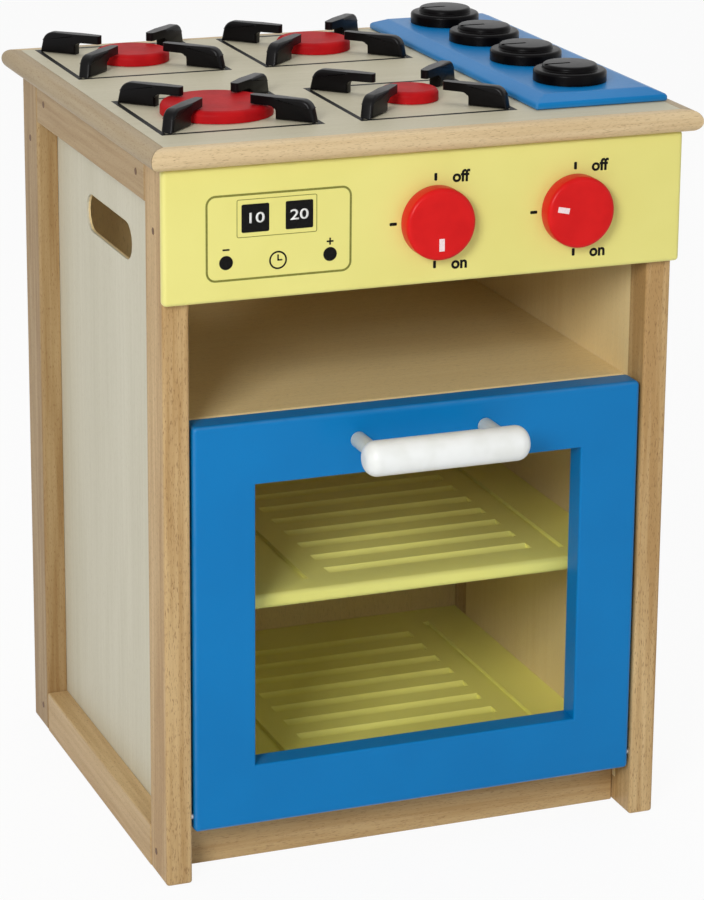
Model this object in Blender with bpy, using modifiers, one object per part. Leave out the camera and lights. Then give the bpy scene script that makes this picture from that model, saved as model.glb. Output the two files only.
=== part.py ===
"""Wooden toy cooker: a framed cabinet with a hob, an open shelf and an oven with a drop-down door.

The frame is in metres with Z up, X to the right and Y towards the back. The origin is at the
bottom centre of the whole toy's box, on the floor.
"""

import math

import bmesh
import bpy
from mathutils import Matrix

# Fits and cuts that every piece shares
FIT_GAP = 0.0003
CUT_OVERRUN = 0.002
ROUND_SIDES = 36
SMALL_ROUND_SIDES = 24

# Cabinet
BODY_WIDTH = 0.380
BODY_DEPTH = 0.343
BODY_HEIGHT = 0.522

# Corner posts
POST_WIDTH = 0.019
POST_DEPTH = 0.038
POST_ROUNDING = 0.0022

# Side frames and their thin panels
SIDE_RAIL_HEIGHT = 0.032
SIDE_RAIL_ROUNDING = 0.0012
SIDE_PANEL_THICKNESS = 0.003
SIDE_PANEL_LAP = 0.012
HAND_HOLE_LENGTH = 0.112
HAND_HOLE_HEIGHT = 0.028
HAND_HOLE_CENTRE_DEPTH = 0.175
HAND_HOLE_DROP = 0.083
HAND_HOLE_END_STEPS = 8

# Back panel and rails across the cabinet
BACK_PANEL_THICKNESS = 0.003
BACK_PANEL_LAP = 0.010
BACK_PANEL_LIFT = 0.004
CROSS_RAIL_THICKNESS = 0.019
CROSS_RAIL_ROUNDING = 0.0012
REAR_TOP_RAIL_HEIGHT = 0.032

# Hob board and its nosing
TOP_THICKNESS = 0.015
TOP_OVERHANG_SIDE = 0.0126
TOP_OVERHANG_FRONT = 0.0188
TOP_OVERHANG_REAR = 0.0126
NOSING_WIDTH = 0.012
NOSING_ROUNDING = 0.0074
NOSING_STEPS = 4

# Control panel
CONTROL_PANEL_HEIGHT = 0.0945
CONTROL_PANEL_THICKNESS = 0.0083
CONTROL_PANEL_SIDE_OVERLAP = 0.002
CONTROL_PANEL_ROUNDING = 0.003

# Red oven knobs
OVEN_KNOB_RADIUS = 0.0255
OVEN_KNOB_THICKNESS = 0.0132
OVEN_KNOB_ROUNDING = 0.0032
OVEN_KNOB_DROP = 0.050
RIGHT_KNOB_INSET = 0.081
KNOB_SPACING = 0.105
KNOB_SPINDLE_RADIUS = 0.0035
KNOB_SPINDLE_CLEARANCE = 0.0004
OVEN_KNOB_SPINDLE_TAIL = 0.004
POINTER_LENGTH = 0.009
POINTER_WIDTH = 0.0055
POINTER_DEPTH = 0.0008
POINTER_RADIUS = 0.0142

# Open compartment
COMPARTMENT_OPENING = 0.0895
COMPARTMENT_FLOOR_LAP = 0.003
COMPARTMENT_FLOOR_THICKNESS = 0.012
COMPARTMENT_FLOOR_SETBACK = 0.0305
COMPARTMENT_FLOOR_ROUNDING = 0.003

# Oven floor and shelf
OVEN_SETBACK = 0.030
OVEN_FLOOR_TOP = 0.047
OVEN_FLOOR_THICKNESS = 0.010
OVEN_SHELF_TOP = 0.199
OVEN_SHELF_THICKNESS = 0.011
OVEN_BOARD_ROUNDING = 0.004
RACK_LEFT_MARGIN = 0.1235
RACK_RIGHT_MARGIN = 0.059
RACK_GROOVE_WIDTH = 0.012
RACK_GROOVE_DEPTH = 0.003
RACK_FRONT_MARGIN = 0.0332
RACK_REAR_MARGIN = 0.0493
RACK_GROOVE_COUNT = 9
RACK_BORDER_MARGIN = 0.021
RACK_BORDER_WIDTH = 0.0055
RACK_BORDER_START = 0.022
SHELF_BATTEN_WIDTH = 0.012
SHELF_BATTEN_HEIGHT = 0.012

# Oven door
DOOR_SIDE_GAP = 0.002
DOOR_BOTTOM = 0.038
DOOR_THICKNESS = 0.022
DOOR_ROUNDING = 0.002
DOOR_FRAME_WIDTH = 0.0455
GLAZING_THICKNESS = 0.003
GLAZING_SETBACK = 0.018
GLAZING_LAP = 0.0055

# Door pivots
PIVOT_INSET = 0.006
PIVOT_HEIGHT = 0.011
PIVOT_PIN_RADIUS = 0.0025
PIVOT_CLEARANCE = 0.0002
PIVOT_IN_POST = 0.012
PIVOT_IN_DOOR = 0.018

# Door catch
CATCH_LENGTH = 0.040
CATCH_DEPTH = 0.014
CATCH_HEIGHT = 0.012
CATCH_SIDE_INSET = 0.046
CATCH_ROUNDING = 0.0008
CATCH_AIR_GAP = 0.0005
CATCH_PLATE_LENGTH = 0.034
CATCH_PLATE_HEIGHT = 0.010
CATCH_PLATE_THICKNESS = 0.0012

# Door handle
HANDLE_BAR_RADIUS = 0.0125
HANDLE_BAR_LENGTH = 0.1226
HANDLE_END_ROUNDING = 0.0095
HANDLE_REACH = 0.0446
HANDLE_DROP = 0.0205
HANDLE_SPACING = 0.096
STANDOFF_RADIUS = 0.0058
STANDOFF_SOCKET_DEPTH = 0.003

# Hob rings and pan supports
RING_HEIGHT = 0.0083
RING_ROUNDING = 0.0042
FRONT_LEFT_RING_RADIUS = 0.0395
REAR_LEFT_RING_RADIUS = 0.0275
FRONT_RIGHT_RING_RADIUS = 0.0210
REAR_RIGHT_RING_RADIUS = 0.0280
RING_LEFT_INSET = 0.068
RING_RIGHT_INSET = 0.0695
RING_FRONT_INSET = 0.0858
RING_REAR_INSET = 0.061
SUPPORT_TIP_RADIUS = 0.0265
SUPPORT_TONGUE_LENGTH = 0.020
SUPPORT_BLOCK_LENGTH = 0.0295
SUPPORT_HAUNCH = 0.004
SUPPORT_HEIGHT = 0.0155
SUPPORT_TONGUE_THICKNESS = 0.0062
SUPPORT_LEAN = 0.0036
SUPPORT_WIDTH = 0.009
SUPPORT_TIP_WIDTH = 0.006
SUPPORT_ROUNDING = 0.0014

# Hob control block and its knobs
HOB_BLOCK_WIDTH = 0.102
HOB_BLOCK_SIDE_INSET = 0.0096
HOB_BLOCK_FRONT_INSET = 0.0388
HOB_BLOCK_REAR_INSET = 0.0126
HOB_BLOCK_HEIGHT = 0.009
HOB_BLOCK_BEVEL_WIDTH = 0.011
HOB_BLOCK_BEVEL_HEIGHT = 0.0045
HOB_KNOB_RADIUS = 0.0265
HOB_KNOB_BASE_HEIGHT = 0.0086
HOB_KNOB_BASE_ROUNDING = 0.0022
HOB_KNOB_CAP_RADIUS = 0.020
HOB_KNOB_HEIGHT = 0.0125
HOB_KNOB_CAP_ROUNDING = 0.0025
HOB_KNOB_SPINDLE_LENGTH = 0.007
HOB_KNOB_SIDE_INSET = 0.054
HOB_KNOB_FRONT_INSET = 0.050
HOB_KNOB_REAR_INSET = 0.0381
HOB_KNOB_COUNT = 4
HOB_KNOB_MARK_WIDTH = 0.003
HOB_KNOB_MARK_DEPTH = 0.0008

# Places that follow from the sizes above
HANDLE_FRONT = HANDLE_REACH + HANDLE_BAR_RADIUS
FRONT = (HANDLE_FRONT - BODY_DEPTH - TOP_OVERHANG_REAR) / 2
BACK = FRONT + BODY_DEPTH
HALF_WIDTH = BODY_WIDTH / 2
INNER_HALF = HALF_WIDTH - POST_WIDTH
CLEAR_HALF = INNER_HALF - FIT_GAP
INNER_BACK = BACK - BACK_PANEL_THICKNESS - FIT_GAP
TOP_UNDERSIDE = BODY_HEIGHT + FIT_GAP
TOP_SURFACE = TOP_UNDERSIDE + TOP_THICKNESS
HOB_LEVEL = TOP_SURFACE + FIT_GAP
PANEL_LOW = BODY_HEIGHT - CONTROL_PANEL_HEIGHT
DOOR_TOP = PANEL_LOW - COMPARTMENT_OPENING
DOOR_HALF = INNER_HALF - DOOR_SIDE_GAP
DOOR_BACK = FRONT + DOOR_THICKNESS
WINDOW_HALF = DOOR_HALF - DOOR_FRAME_WIDTH
WINDOW_LOW = DOOR_BOTTOM + DOOR_FRAME_WIDTH
WINDOW_HIGH = DOOR_TOP - DOOR_FRAME_WIDTH
PIVOT_Y = FRONT + PIVOT_INSET
PIVOT_Z = DOOR_BOTTOM + PIVOT_HEIGHT
HANDLE_Y = FRONT - HANDLE_REACH
HANDLE_Z = DOOR_TOP - HANDLE_DROP
PANEL_FRONT = FRONT - FIT_GAP - CONTROL_PANEL_THICKNESS
OVEN_KNOB_Z = BODY_HEIGHT - OVEN_KNOB_DROP
RIGHT_KNOB_X = HALF_WIDTH - RIGHT_KNOB_INSET
COMPARTMENT_FLOOR_TOP = DOOR_TOP - COMPARTMENT_FLOOR_LAP
COMPARTMENT_UNDERSIDE = COMPARTMENT_FLOOR_TOP - COMPARTMENT_FLOOR_THICKNESS
OVEN_FLOOR_UNDERSIDE = OVEN_FLOOR_TOP - OVEN_FLOOR_THICKNESS
SHELF_UNDERSIDE = OVEN_SHELF_TOP - OVEN_SHELF_THICKNESS
HOB_BLOCK_TOP = HOB_LEVEL + HOB_BLOCK_HEIGHT
TOP_HALF = HALF_WIDTH + TOP_OVERHANG_SIDE
TOP_FRONT = FRONT - TOP_OVERHANG_FRONT
TOP_REAR = BACK + TOP_OVERHANG_REAR
HOB_BLOCK_RIGHT = TOP_HALF - HOB_BLOCK_SIDE_INSET
HOB_BLOCK_LEFT = HOB_BLOCK_RIGHT - HOB_BLOCK_WIDTH
HOB_BLOCK_FRONT = TOP_FRONT + HOB_BLOCK_FRONT_INSET
HOB_BLOCK_REAR = TOP_REAR - HOB_BLOCK_REAR_INSET


def clear_scene():
    """Remove every object that the scene holds."""
    for item in list(bpy.data.objects):
        bpy.data.objects.remove(item, do_unlink=True)


def new_collection(name):
    """Make a collection in the scene and return it."""
    group = bpy.data.collections.new(name)
    bpy.context.scene.collection.children.link(group)
    return group


clear_scene()
PARTS = new_collection("toy_oven")
CUTTERS = new_collection("cutters")


def finish(name, colour, roughness, metallic=0.0, alpha=1.0):
    """Return a Principled material of one colour."""
    surface = bpy.data.materials.new(name)
    surface.use_nodes = True
    shader = surface.node_tree.nodes["Principled BSDF"]
    shader.inputs["Base Color"].default_value = (*colour, 1.0)
    shader.inputs["Roughness"].default_value = roughness
    shader.inputs["Metallic"].default_value = metallic
    shader.inputs["Alpha"].default_value = alpha
    surface.diffuse_color = (*colour, alpha)
    return surface


BEECH = finish("beech", (0.60, 0.38, 0.19), 0.55)
PALE_PLY = finish("pale_ply", (0.66, 0.60, 0.42), 0.6)
TOP_VENEER = finish("top_veneer", (0.66, 0.60, 0.46), 0.5)
YELLOW_PAINT = finish("yellow_paint", (0.80, 0.74, 0.22), 0.4)
BLUE_PAINT = finish("blue_paint", (0.01, 0.20, 0.55), 0.35)
RED_PAINT = finish("red_paint", (0.55, 0.01, 0.02), 0.35)
BLACK_PAINT = finish("black_paint", (0.01, 0.01, 0.012), 0.3)
WHITE_PAINT = finish("white_paint", (0.85, 0.85, 0.87), 0.3)
CLEAR_SHEET = finish("clear_sheet", (0.9, 0.93, 0.93), 0.05, 0.0, 0.3)
BRIGHT_METAL = finish("bright_metal", (0.62, 0.62, 0.62), 0.3, 1.0)
WHITE_PLASTIC = finish("white_plastic", (0.75, 0.75, 0.72), 0.45)


def add_object(name, data, surface, group, location):
    """Link one named object with its material at a place."""
    item = bpy.data.objects.new(name, data)
    group.objects.link(item)
    item.location = location
    if surface is not None and not data.materials:
        data.materials.append(surface)
    return item


def hide_cutter(item):
    """Show a cutter as a wire guide that isn't a part."""
    item.display_type = "WIRE"
    item.hide_render = True
    return item


def round_edges(item, width, steps, weighted=False):
    """Round an object's sharp edges, or only its weighted ones."""
    bevel = item.modifiers.new("rounding", "BEVEL")
    bevel.width = width
    bevel.segments = steps
    bevel.limit_method = "WEIGHT" if weighted else "ANGLE"
    return item


def block(name, low, high, surface, rounding=0.0, steps=2, chosen=None, group=None):
    """Make a box between two corners, with its edges or its chosen edges rounded."""
    size = [top - bottom for bottom, top in zip(low, high)]
    centre = [(top + bottom) / 2 for bottom, top in zip(low, high)]
    shape = bmesh.new()
    bmesh.ops.create_cube(shape, size=1)
    bmesh.ops.scale(shape, vec=size, verts=shape.verts)
    if chosen is not None:
        weight = shape.edges.layers.float.new("bevel_weight_edge")
        for edge in shape.edges:
            middle = (edge.verts[0].co + edge.verts[1].co) / 2
            edge[weight] = 1.0 if chosen(middle) else 0.0
    mesh = bpy.data.meshes.new(name)
    shape.to_mesh(mesh)
    shape.free()
    item = add_object(name, mesh, surface, group or PARTS, centre)
    if rounding > 0:
        round_edges(item, rounding, steps, chosen is not None)
    return item


def box_cutter(name, low, high):
    """Make a box that only cuts."""
    return hide_cutter(block(name, low, high, None, group=CUTTERS))


def rod(name, radius, length, location, axis, surface, sides, group=None):
    """Make a round bar centred at a place along one axis."""
    shape = bmesh.new()
    bmesh.ops.create_cone(
        shape,
        cap_ends=True,
        segments=sides,
        radius1=radius,
        radius2=radius,
        depth=length,
    )
    mesh = bpy.data.meshes.new(name)
    shape.to_mesh(mesh)
    shape.free()
    item = add_object(name, mesh, surface, group or PARTS, location)
    if axis == "X":
        item.rotation_euler = (0, math.pi / 2, 0)
    if axis == "Y":
        item.rotation_euler = (math.pi / 2, 0, 0)
    return item


def rod_cutter(name, radius, length, location, axis, sides):
    """Make a round bar that only cuts."""
    return hide_cutter(rod(name, radius, length, location, axis, None, sides, CUTTERS))


def cut(item, cutter):
    """Take a cutter's shape out of a piece."""
    change = item.modifiers.new("cut_" + cutter.name, "BOOLEAN")
    change.operation = "DIFFERENCE"
    change.solver = "EXACT"
    change.object = cutter
    return item


def arc(centre_x, centre_z, radius, start, end, steps):
    """Return points along an arc, with its angles in degrees."""
    points = []
    for step in range(steps + 1):
        angle = math.radians(start + (end - start) * step / steps)
        points.append((centre_x + radius * math.cos(angle), centre_z + radius * math.sin(angle)))
    return points


def turned(name, profile, surface, location, sides):
    """Spin a profile of radius and height pairs about Z, from its top down."""
    shape = bmesh.new()
    corners = [shape.verts.new((radius, 0, height)) for radius, height in profile]
    for first, second in zip(corners, corners[1:]):
        shape.edges.new((first, second))
    mesh = bpy.data.meshes.new(name)
    shape.to_mesh(mesh)
    shape.free()
    item = add_object(name, mesh, surface, PARTS, location)
    spin = item.modifiers.new("spin", "SCREW")
    spin.axis = "Z"
    spin.steps = sides
    spin.render_steps = sides
    spin.use_merge_vertices = True
    spin.merge_threshold = 0.00001
    spin.use_smooth_shade = True
    return item


def outline_mesh(name, points, thickness):
    """Return the closed mesh of a flat outline, extruded evenly to both sides."""
    data = bpy.data.curves.new(name + "_outline", "CURVE")
    data.dimensions = "2D"
    data.fill_mode = "BOTH"
    data.extrude = thickness / 2
    spline = data.splines.new("POLY")
    spline.points.add(len(points) - 1)
    for point, (across, up) in zip(spline.points, points):
        point.co = (across, up, 0, 1)
    spline.use_cyclic_u = True
    guide = bpy.data.objects.new(name + "_outline", data)
    CUTTERS.objects.link(guide)
    bpy.context.view_layer.update()
    mesh = bpy.data.meshes.new_from_object(guide.evaluated_get(bpy.context.evaluated_depsgraph_get()))
    bpy.data.objects.remove(guide, do_unlink=True)
    shape = bmesh.new()
    shape.from_mesh(mesh)
    bmesh.ops.remove_doubles(shape, verts=shape.verts, dist=0.00001)
    bmesh.ops.dissolve_limit(
        shape,
        angle_limit=math.radians(1),
        verts=shape.verts,
        edges=shape.edges,
    )
    bmesh.ops.recalc_face_normals(shape, faces=shape.faces)
    shape.to_mesh(mesh)
    shape.free()
    return mesh


def stand_up(mesh):
    """Turn an outline so that its second direction points up."""
    mesh.transform(Matrix.Rotation(math.pi / 2, 4, "X"))
    return mesh


# Corner posts, rebated for the side panels and the back
def panel_front():
    """Return where a side panel starts behind the front posts' faces."""
    return FRONT + POST_DEPTH - SIDE_PANEL_LAP


def panel_back():
    """Return where a side panel ends ahead of the rear posts' backs."""
    return BACK - POST_DEPTH + SIDE_PANEL_LAP


def panel_low():
    """Return a side panel's lower edge."""
    return SIDE_RAIL_HEIGHT - SIDE_PANEL_LAP


def panel_high():
    """Return a side panel's upper edge."""
    return BODY_HEIGHT - SIDE_RAIL_HEIGHT + SIDE_PANEL_LAP


def inward_side_cutter(side, sign):
    """Make the rebate on the inner faces, open towards the inside of the cabinet."""
    face = INNER_HALF
    depth = INNER_HALF + SIDE_PANEL_THICKNESS + FIT_GAP
    xs = sorted((sign * (face - CUT_OVERRUN), sign * depth))
    low = (xs[0], panel_front() - FIT_GAP, panel_low() - FIT_GAP)
    high = (xs[1], panel_back() + FIT_GAP, panel_high() + FIT_GAP)
    return box_cutter("rebate_side_" + side, low, high)


SIDES = (("left", -1), ("right", 1))
SIDE_REBATES = {side: inward_side_cutter(side, sign) for side, sign in SIDES}
BACK_REBATE = box_cutter(
    "rebate_back",
    (
        -INNER_HALF - BACK_PANEL_LAP - FIT_GAP,
        INNER_BACK,
        -CUT_OVERRUN,
    ),
    (
        INNER_HALF + BACK_PANEL_LAP + FIT_GAP,
        BACK + CUT_OVERRUN,
        BODY_HEIGHT + CUT_OVERRUN,
    ),
)


def post(name, side, sign, front):
    """Make one corner post with its rebates."""
    xs = sorted((sign * HALF_WIDTH, sign * INNER_HALF))
    item = block(
        name,
        (xs[0], front, 0),
        (xs[1], front + POST_DEPTH, BODY_HEIGHT),
        BEECH,
        POST_ROUNDING,
    )
    return cut(item, SIDE_REBATES[side])


def pivot_rods(side, sign):
    """Make one pivot pin and the cutters for its two blind holes."""
    gap = DOOR_SIDE_GAP
    start = INNER_HALF + PIVOT_IN_POST
    end = INNER_HALF - gap - PIVOT_IN_DOOR
    centre = (sign * (start + end) / 2, PIVOT_Y, PIVOT_Z)
    rod(
        "door_pivot_pin_" + side,
        PIVOT_PIN_RADIUS,
        start - end,
        centre,
        "X",
        BRIGHT_METAL,
        SMALL_ROUND_SIDES,
    )
    return rod_cutter(
        "pivot_hole_" + side,
        PIVOT_PIN_RADIUS + PIVOT_CLEARANCE,
        start - end + FIT_GAP + FIT_GAP,
        centre,
        "X",
        SMALL_ROUND_SIDES,
    )


PIVOT_HOLES = {side: pivot_rods(side, sign) for side, sign in SIDES}
for side, sign in SIDES:
    cut(post("post_front_" + side, side, sign, FRONT), PIVOT_HOLES[side])
    cut(post("post_rear_" + side, side, sign, BACK - POST_DEPTH), BACK_REBATE)


# Side rails between the posts, and the thin side panels with their hand holes
def side_rail(name, side, sign, low, high):
    """Make one rail between a front post and a rear post."""
    xs = sorted((sign * HALF_WIDTH, sign * INNER_HALF))
    item = block(
        name,
        (xs[0], FRONT + POST_DEPTH + FIT_GAP, low),
        (xs[1], BACK - POST_DEPTH - FIT_GAP, high),
        BEECH,
        SIDE_RAIL_ROUNDING,
    )
    return cut(item, SIDE_REBATES[side])


def hand_hole_cutter(side, sign):
    """Make the long rounded slot that cuts a hand hole."""
    radius = HAND_HOLE_HEIGHT / 2
    reach = HAND_HOLE_LENGTH / 2 - radius
    points = arc(reach, 0, radius, -90, 90, HAND_HOLE_END_STEPS)
    points += arc(-reach, 0, radius, 90, 270, HAND_HOLE_END_STEPS)
    mesh = outline_mesh("hand_hole_" + side, points, SIDE_PANEL_THICKNESS + 2 * CUT_OVERRUN)
    place = (
        sign * (INNER_HALF + SIDE_PANEL_THICKNESS / 2),
        FRONT + HAND_HOLE_CENTRE_DEPTH,
        BODY_HEIGHT - HAND_HOLE_DROP,
    )
    item = add_object("hand_hole_" + side, stand_up(mesh), None, CUTTERS, place)
    item.rotation_euler = (0, 0, math.pi / 2)
    return hide_cutter(item)


def side_panel(side, sign):
    """Make one thin side panel, flush with the posts' inner faces."""
    xs = sorted((sign * INNER_HALF, sign * (INNER_HALF + SIDE_PANEL_THICKNESS)))
    item = block(
        "side_panel_" + side,
        (xs[0], panel_front(), panel_low()),
        (xs[1], panel_back(), panel_high()),
        PALE_PLY,
    )
    return cut(item, hand_hole_cutter(side, sign))


for side, sign in SIDES:
    side_rail("side_rail_bottom_" + side, side, sign, 0, SIDE_RAIL_HEIGHT)
    side_rail("side_rail_top_" + side, side, sign, BODY_HEIGHT - SIDE_RAIL_HEIGHT, BODY_HEIGHT)
    side_panel(side, sign)

# Back panel and cross rails
block(
    "back_panel",
    (-INNER_HALF - BACK_PANEL_LAP, BACK - BACK_PANEL_THICKNESS, BACK_PANEL_LIFT),
    (INNER_HALF + BACK_PANEL_LAP, BACK, BODY_HEIGHT),
    PALE_PLY,
)
block(
    "front_bottom_rail",
    (-CLEAR_HALF, FRONT + OVEN_SETBACK, 0),
    (CLEAR_HALF, FRONT + OVEN_SETBACK + CROSS_RAIL_THICKNESS, OVEN_FLOOR_UNDERSIDE - FIT_GAP),
    BEECH,
    CROSS_RAIL_ROUNDING,
)
block(
    "rear_bottom_rail",
    (-CLEAR_HALF, INNER_BACK - CROSS_RAIL_THICKNESS, 0),
    (CLEAR_HALF, INNER_BACK, OVEN_FLOOR_UNDERSIDE - FIT_GAP),
    BEECH,
    CROSS_RAIL_ROUNDING,
)
block(
    "rear_top_rail",
    (-CLEAR_HALF, INNER_BACK - CROSS_RAIL_THICKNESS, BODY_HEIGHT - REAR_TOP_RAIL_HEIGHT),
    (CLEAR_HALF, INNER_BACK, BODY_HEIGHT),
    BEECH,
    CROSS_RAIL_ROUNDING,
)

# Hob board with a mitred half-round nosing on its four edges
TOP_MIDDLE_Y = (TOP_FRONT + TOP_REAR) / 2
BOARD_INSET = NOSING_WIDTH + FIT_GAP

block(
    "hob_board",
    (-TOP_HALF + BOARD_INSET, TOP_FRONT + BOARD_INSET, TOP_UNDERSIDE),
    (TOP_HALF - BOARD_INSET, TOP_REAR - BOARD_INSET, TOP_SURFACE),
    TOP_VENEER,
)


def nosing(name, length, location, turn):
    """Make one mitred strip with a half-round outer edge."""
    shape = bmesh.new()
    bmesh.ops.create_cube(shape, size=1)
    shift = FIT_GAP / math.sqrt(2)
    bmesh.ops.scale(
        shape,
        vec=(length - 2 * shift, NOSING_WIDTH, TOP_THICKNESS),
        verts=shape.verts,
    )
    weight = shape.edges.layers.float.new("bevel_weight_edge")
    for edge in shape.edges:
        first, second = edge.verts
        outer = first.co.y < 0 and second.co.y < 0
        along = first.co.x * second.co.x < 0
        edge[weight] = 1.0 if outer and along else 0.0
    for vert in shape.verts:
        if vert.co.y > 0:
            vert.co.x -= math.copysign(NOSING_WIDTH, vert.co.x)
    mesh = bpy.data.meshes.new(name)
    shape.to_mesh(mesh)
    shape.free()
    item = add_object(name, mesh, BEECH, PARTS, location)
    item.rotation_euler = (0, 0, turn)
    return round_edges(item, NOSING_ROUNDING, NOSING_STEPS, True)


NOSING_Z = TOP_UNDERSIDE + TOP_THICKNESS / 2
NOSING_HALF = NOSING_WIDTH / 2
TOP_WIDTH = 2 * TOP_HALF
TOP_DEPTH = TOP_REAR - TOP_FRONT
nosing("nosing_front", TOP_WIDTH, (0, TOP_FRONT + NOSING_HALF, NOSING_Z), 0)
nosing("nosing_right", TOP_DEPTH, (TOP_HALF - NOSING_HALF, TOP_MIDDLE_Y, NOSING_Z), math.pi / 2)
nosing("nosing_rear", TOP_WIDTH, (0, TOP_REAR - NOSING_HALF, NOSING_Z), math.pi)
nosing("nosing_left", TOP_DEPTH, (-TOP_HALF + NOSING_HALF, TOP_MIDDLE_Y, NOSING_Z), -math.pi / 2)

# Control panel planted on the front posts
control_panel = block(
    "control_panel",
    (
        -HALF_WIDTH - CONTROL_PANEL_SIDE_OVERLAP,
        PANEL_FRONT,
        PANEL_LOW,
    ),
    (
        HALF_WIDTH + CONTROL_PANEL_SIDE_OVERLAP,
        PANEL_FRONT + CONTROL_PANEL_THICKNESS,
        BODY_HEIGHT,
    ),
    YELLOW_PAINT,
    CONTROL_PANEL_ROUNDING,
)


# Red oven knobs with their spindles through the panel
def pointer_cutter(name, place, turn, top):
    """Make the short bar that cuts a pointer mark, pointing to one side of its knob."""
    item = box_cutter(
        name,
        (POINTER_RADIUS - POINTER_LENGTH / 2, -POINTER_WIDTH / 2, top - POINTER_DEPTH),
        (POINTER_RADIUS + POINTER_LENGTH / 2, POINTER_WIDTH / 2, top + CUT_OVERRUN),
    )
    centre = item.location.copy()
    item.data.transform(Matrix.Translation(centre))
    item.location = place
    item.rotation_euler = turn
    return item


def oven_knob(name, offset, pointing):
    """Make one red knob whose mark points at an angle in degrees, counted from the right."""
    place = (offset, PANEL_FRONT, OVEN_KNOB_Z)
    edge = OVEN_KNOB_RADIUS - OVEN_KNOB_ROUNDING
    shoulder = OVEN_KNOB_THICKNESS - OVEN_KNOB_ROUNDING
    tail = -CONTROL_PANEL_THICKNESS - OVEN_KNOB_SPINDLE_TAIL
    profile = [(0, OVEN_KNOB_THICKNESS)]
    profile += arc(edge, shoulder, OVEN_KNOB_ROUNDING, 90, 0, 3)
    profile += [
        (OVEN_KNOB_RADIUS, FIT_GAP),
        (KNOB_SPINDLE_RADIUS, FIT_GAP),
        (KNOB_SPINDLE_RADIUS, tail),
        (0, tail),
    ]
    item = turned(name, profile, RED_PAINT, place, ROUND_SIDES)
    item.rotation_euler = (math.pi / 2, 0, 0)
    turn = Matrix.Rotation(math.pi / 2, 3, "X") @ Matrix.Rotation(math.radians(pointing), 3, "Z")
    cut(item, pointer_cutter(name + "_mark", place, turn.to_euler(), OVEN_KNOB_THICKNESS))
    hole = rod_cutter(
        name + "_hole",
        KNOB_SPINDLE_RADIUS + KNOB_SPINDLE_CLEARANCE,
        CONTROL_PANEL_THICKNESS + 2 * CUT_OVERRUN,
        (offset, PANEL_FRONT + CONTROL_PANEL_THICKNESS / 2, OVEN_KNOB_Z),
        "Y",
        SMALL_ROUND_SIDES,
    )
    cut(control_panel, hole)
    return item


oven_knob("oven_knob_left", RIGHT_KNOB_X - KNOB_SPACING, -90)
oven_knob("oven_knob_right", RIGHT_KNOB_X, 168)


# Open compartment floor, with a rounded front edge
def is_front_edge(middle):
    """Return whether an edge's middle lies along the front."""
    return middle.y < 0 and middle.x == 0


block(
    "compartment_floor",
    (-CLEAR_HALF, FRONT + COMPARTMENT_FLOOR_SETBACK, COMPARTMENT_UNDERSIDE),
    (CLEAR_HALF, INNER_BACK, COMPARTMENT_FLOOR_TOP),
    PALE_PLY,
    COMPARTMENT_FLOOR_ROUNDING,
    3,
    is_front_edge,
)


# Oven floor and shelf, grooved like a rack
def rack_board(name, top, thickness):
    """Make one grooved board across the oven."""
    front = FRONT + OVEN_SETBACK
    item = block(
        name,
        (-CLEAR_HALF, front, top - thickness),
        (CLEAR_HALF, INNER_BACK, top),
        YELLOW_PAINT,
        OVEN_BOARD_ROUNDING,
        3,
        is_front_edge,
    )
    bed = top - RACK_GROOVE_DEPTH
    over = top + CUT_OVERRUN
    left = -INNER_HALF + RACK_LEFT_MARGIN
    right = INNER_HALF - RACK_RIGHT_MARGIN
    first = front + RACK_FRONT_MARGIN
    last = INNER_BACK - RACK_REAR_MARGIN
    pitch = (last - first) / (RACK_GROOVE_COUNT - 1)
    for index in range(RACK_GROOVE_COUNT):
        middle = first + pitch * index
        groove = box_cutter(
            name + "_groove_" + str(index),
            (left, middle - RACK_GROOVE_WIDTH / 2, bed),
            (right, middle + RACK_GROOVE_WIDTH / 2, over),
        )
        cut(item, groove)
    start = front + RACK_BORDER_START
    end = last + RACK_BORDER_MARGIN
    for label, edge in (("left", left - RACK_BORDER_MARGIN), ("right", right + RACK_BORDER_MARGIN)):
        border = box_cutter(
            name + "_border_" + label,
            (edge - RACK_BORDER_WIDTH / 2, start, bed),
            (edge + RACK_BORDER_WIDTH / 2, end, over),
        )
        cut(item, border)
    return item


rack_board("oven_floor", OVEN_FLOOR_TOP, OVEN_FLOOR_THICKNESS)
rack_board("oven_shelf", OVEN_SHELF_TOP, OVEN_SHELF_THICKNESS)
block(
    "shelf_rear_batten",
    (-CLEAR_HALF, INNER_BACK - SHELF_BATTEN_WIDTH, SHELF_UNDERSIDE - FIT_GAP - SHELF_BATTEN_HEIGHT),
    (CLEAR_HALF, INNER_BACK, SHELF_UNDERSIDE - FIT_GAP),
    BEECH,
    CROSS_RAIL_ROUNDING,
)

# Door that turns on its pivot pins, with everything on it parented to the axis
door_axis = bpy.data.objects.new("door_axis", None)
PARTS.objects.link(door_axis)
door_axis.location = (0, PIVOT_Y, PIVOT_Z)
bpy.context.view_layer.update()


def hang_on_door(item):
    """Parent a piece to the door's axis and leave it where it is."""
    item.parent = door_axis
    item.matrix_parent_inverse = door_axis.matrix_world.inverted()
    return item


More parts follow.
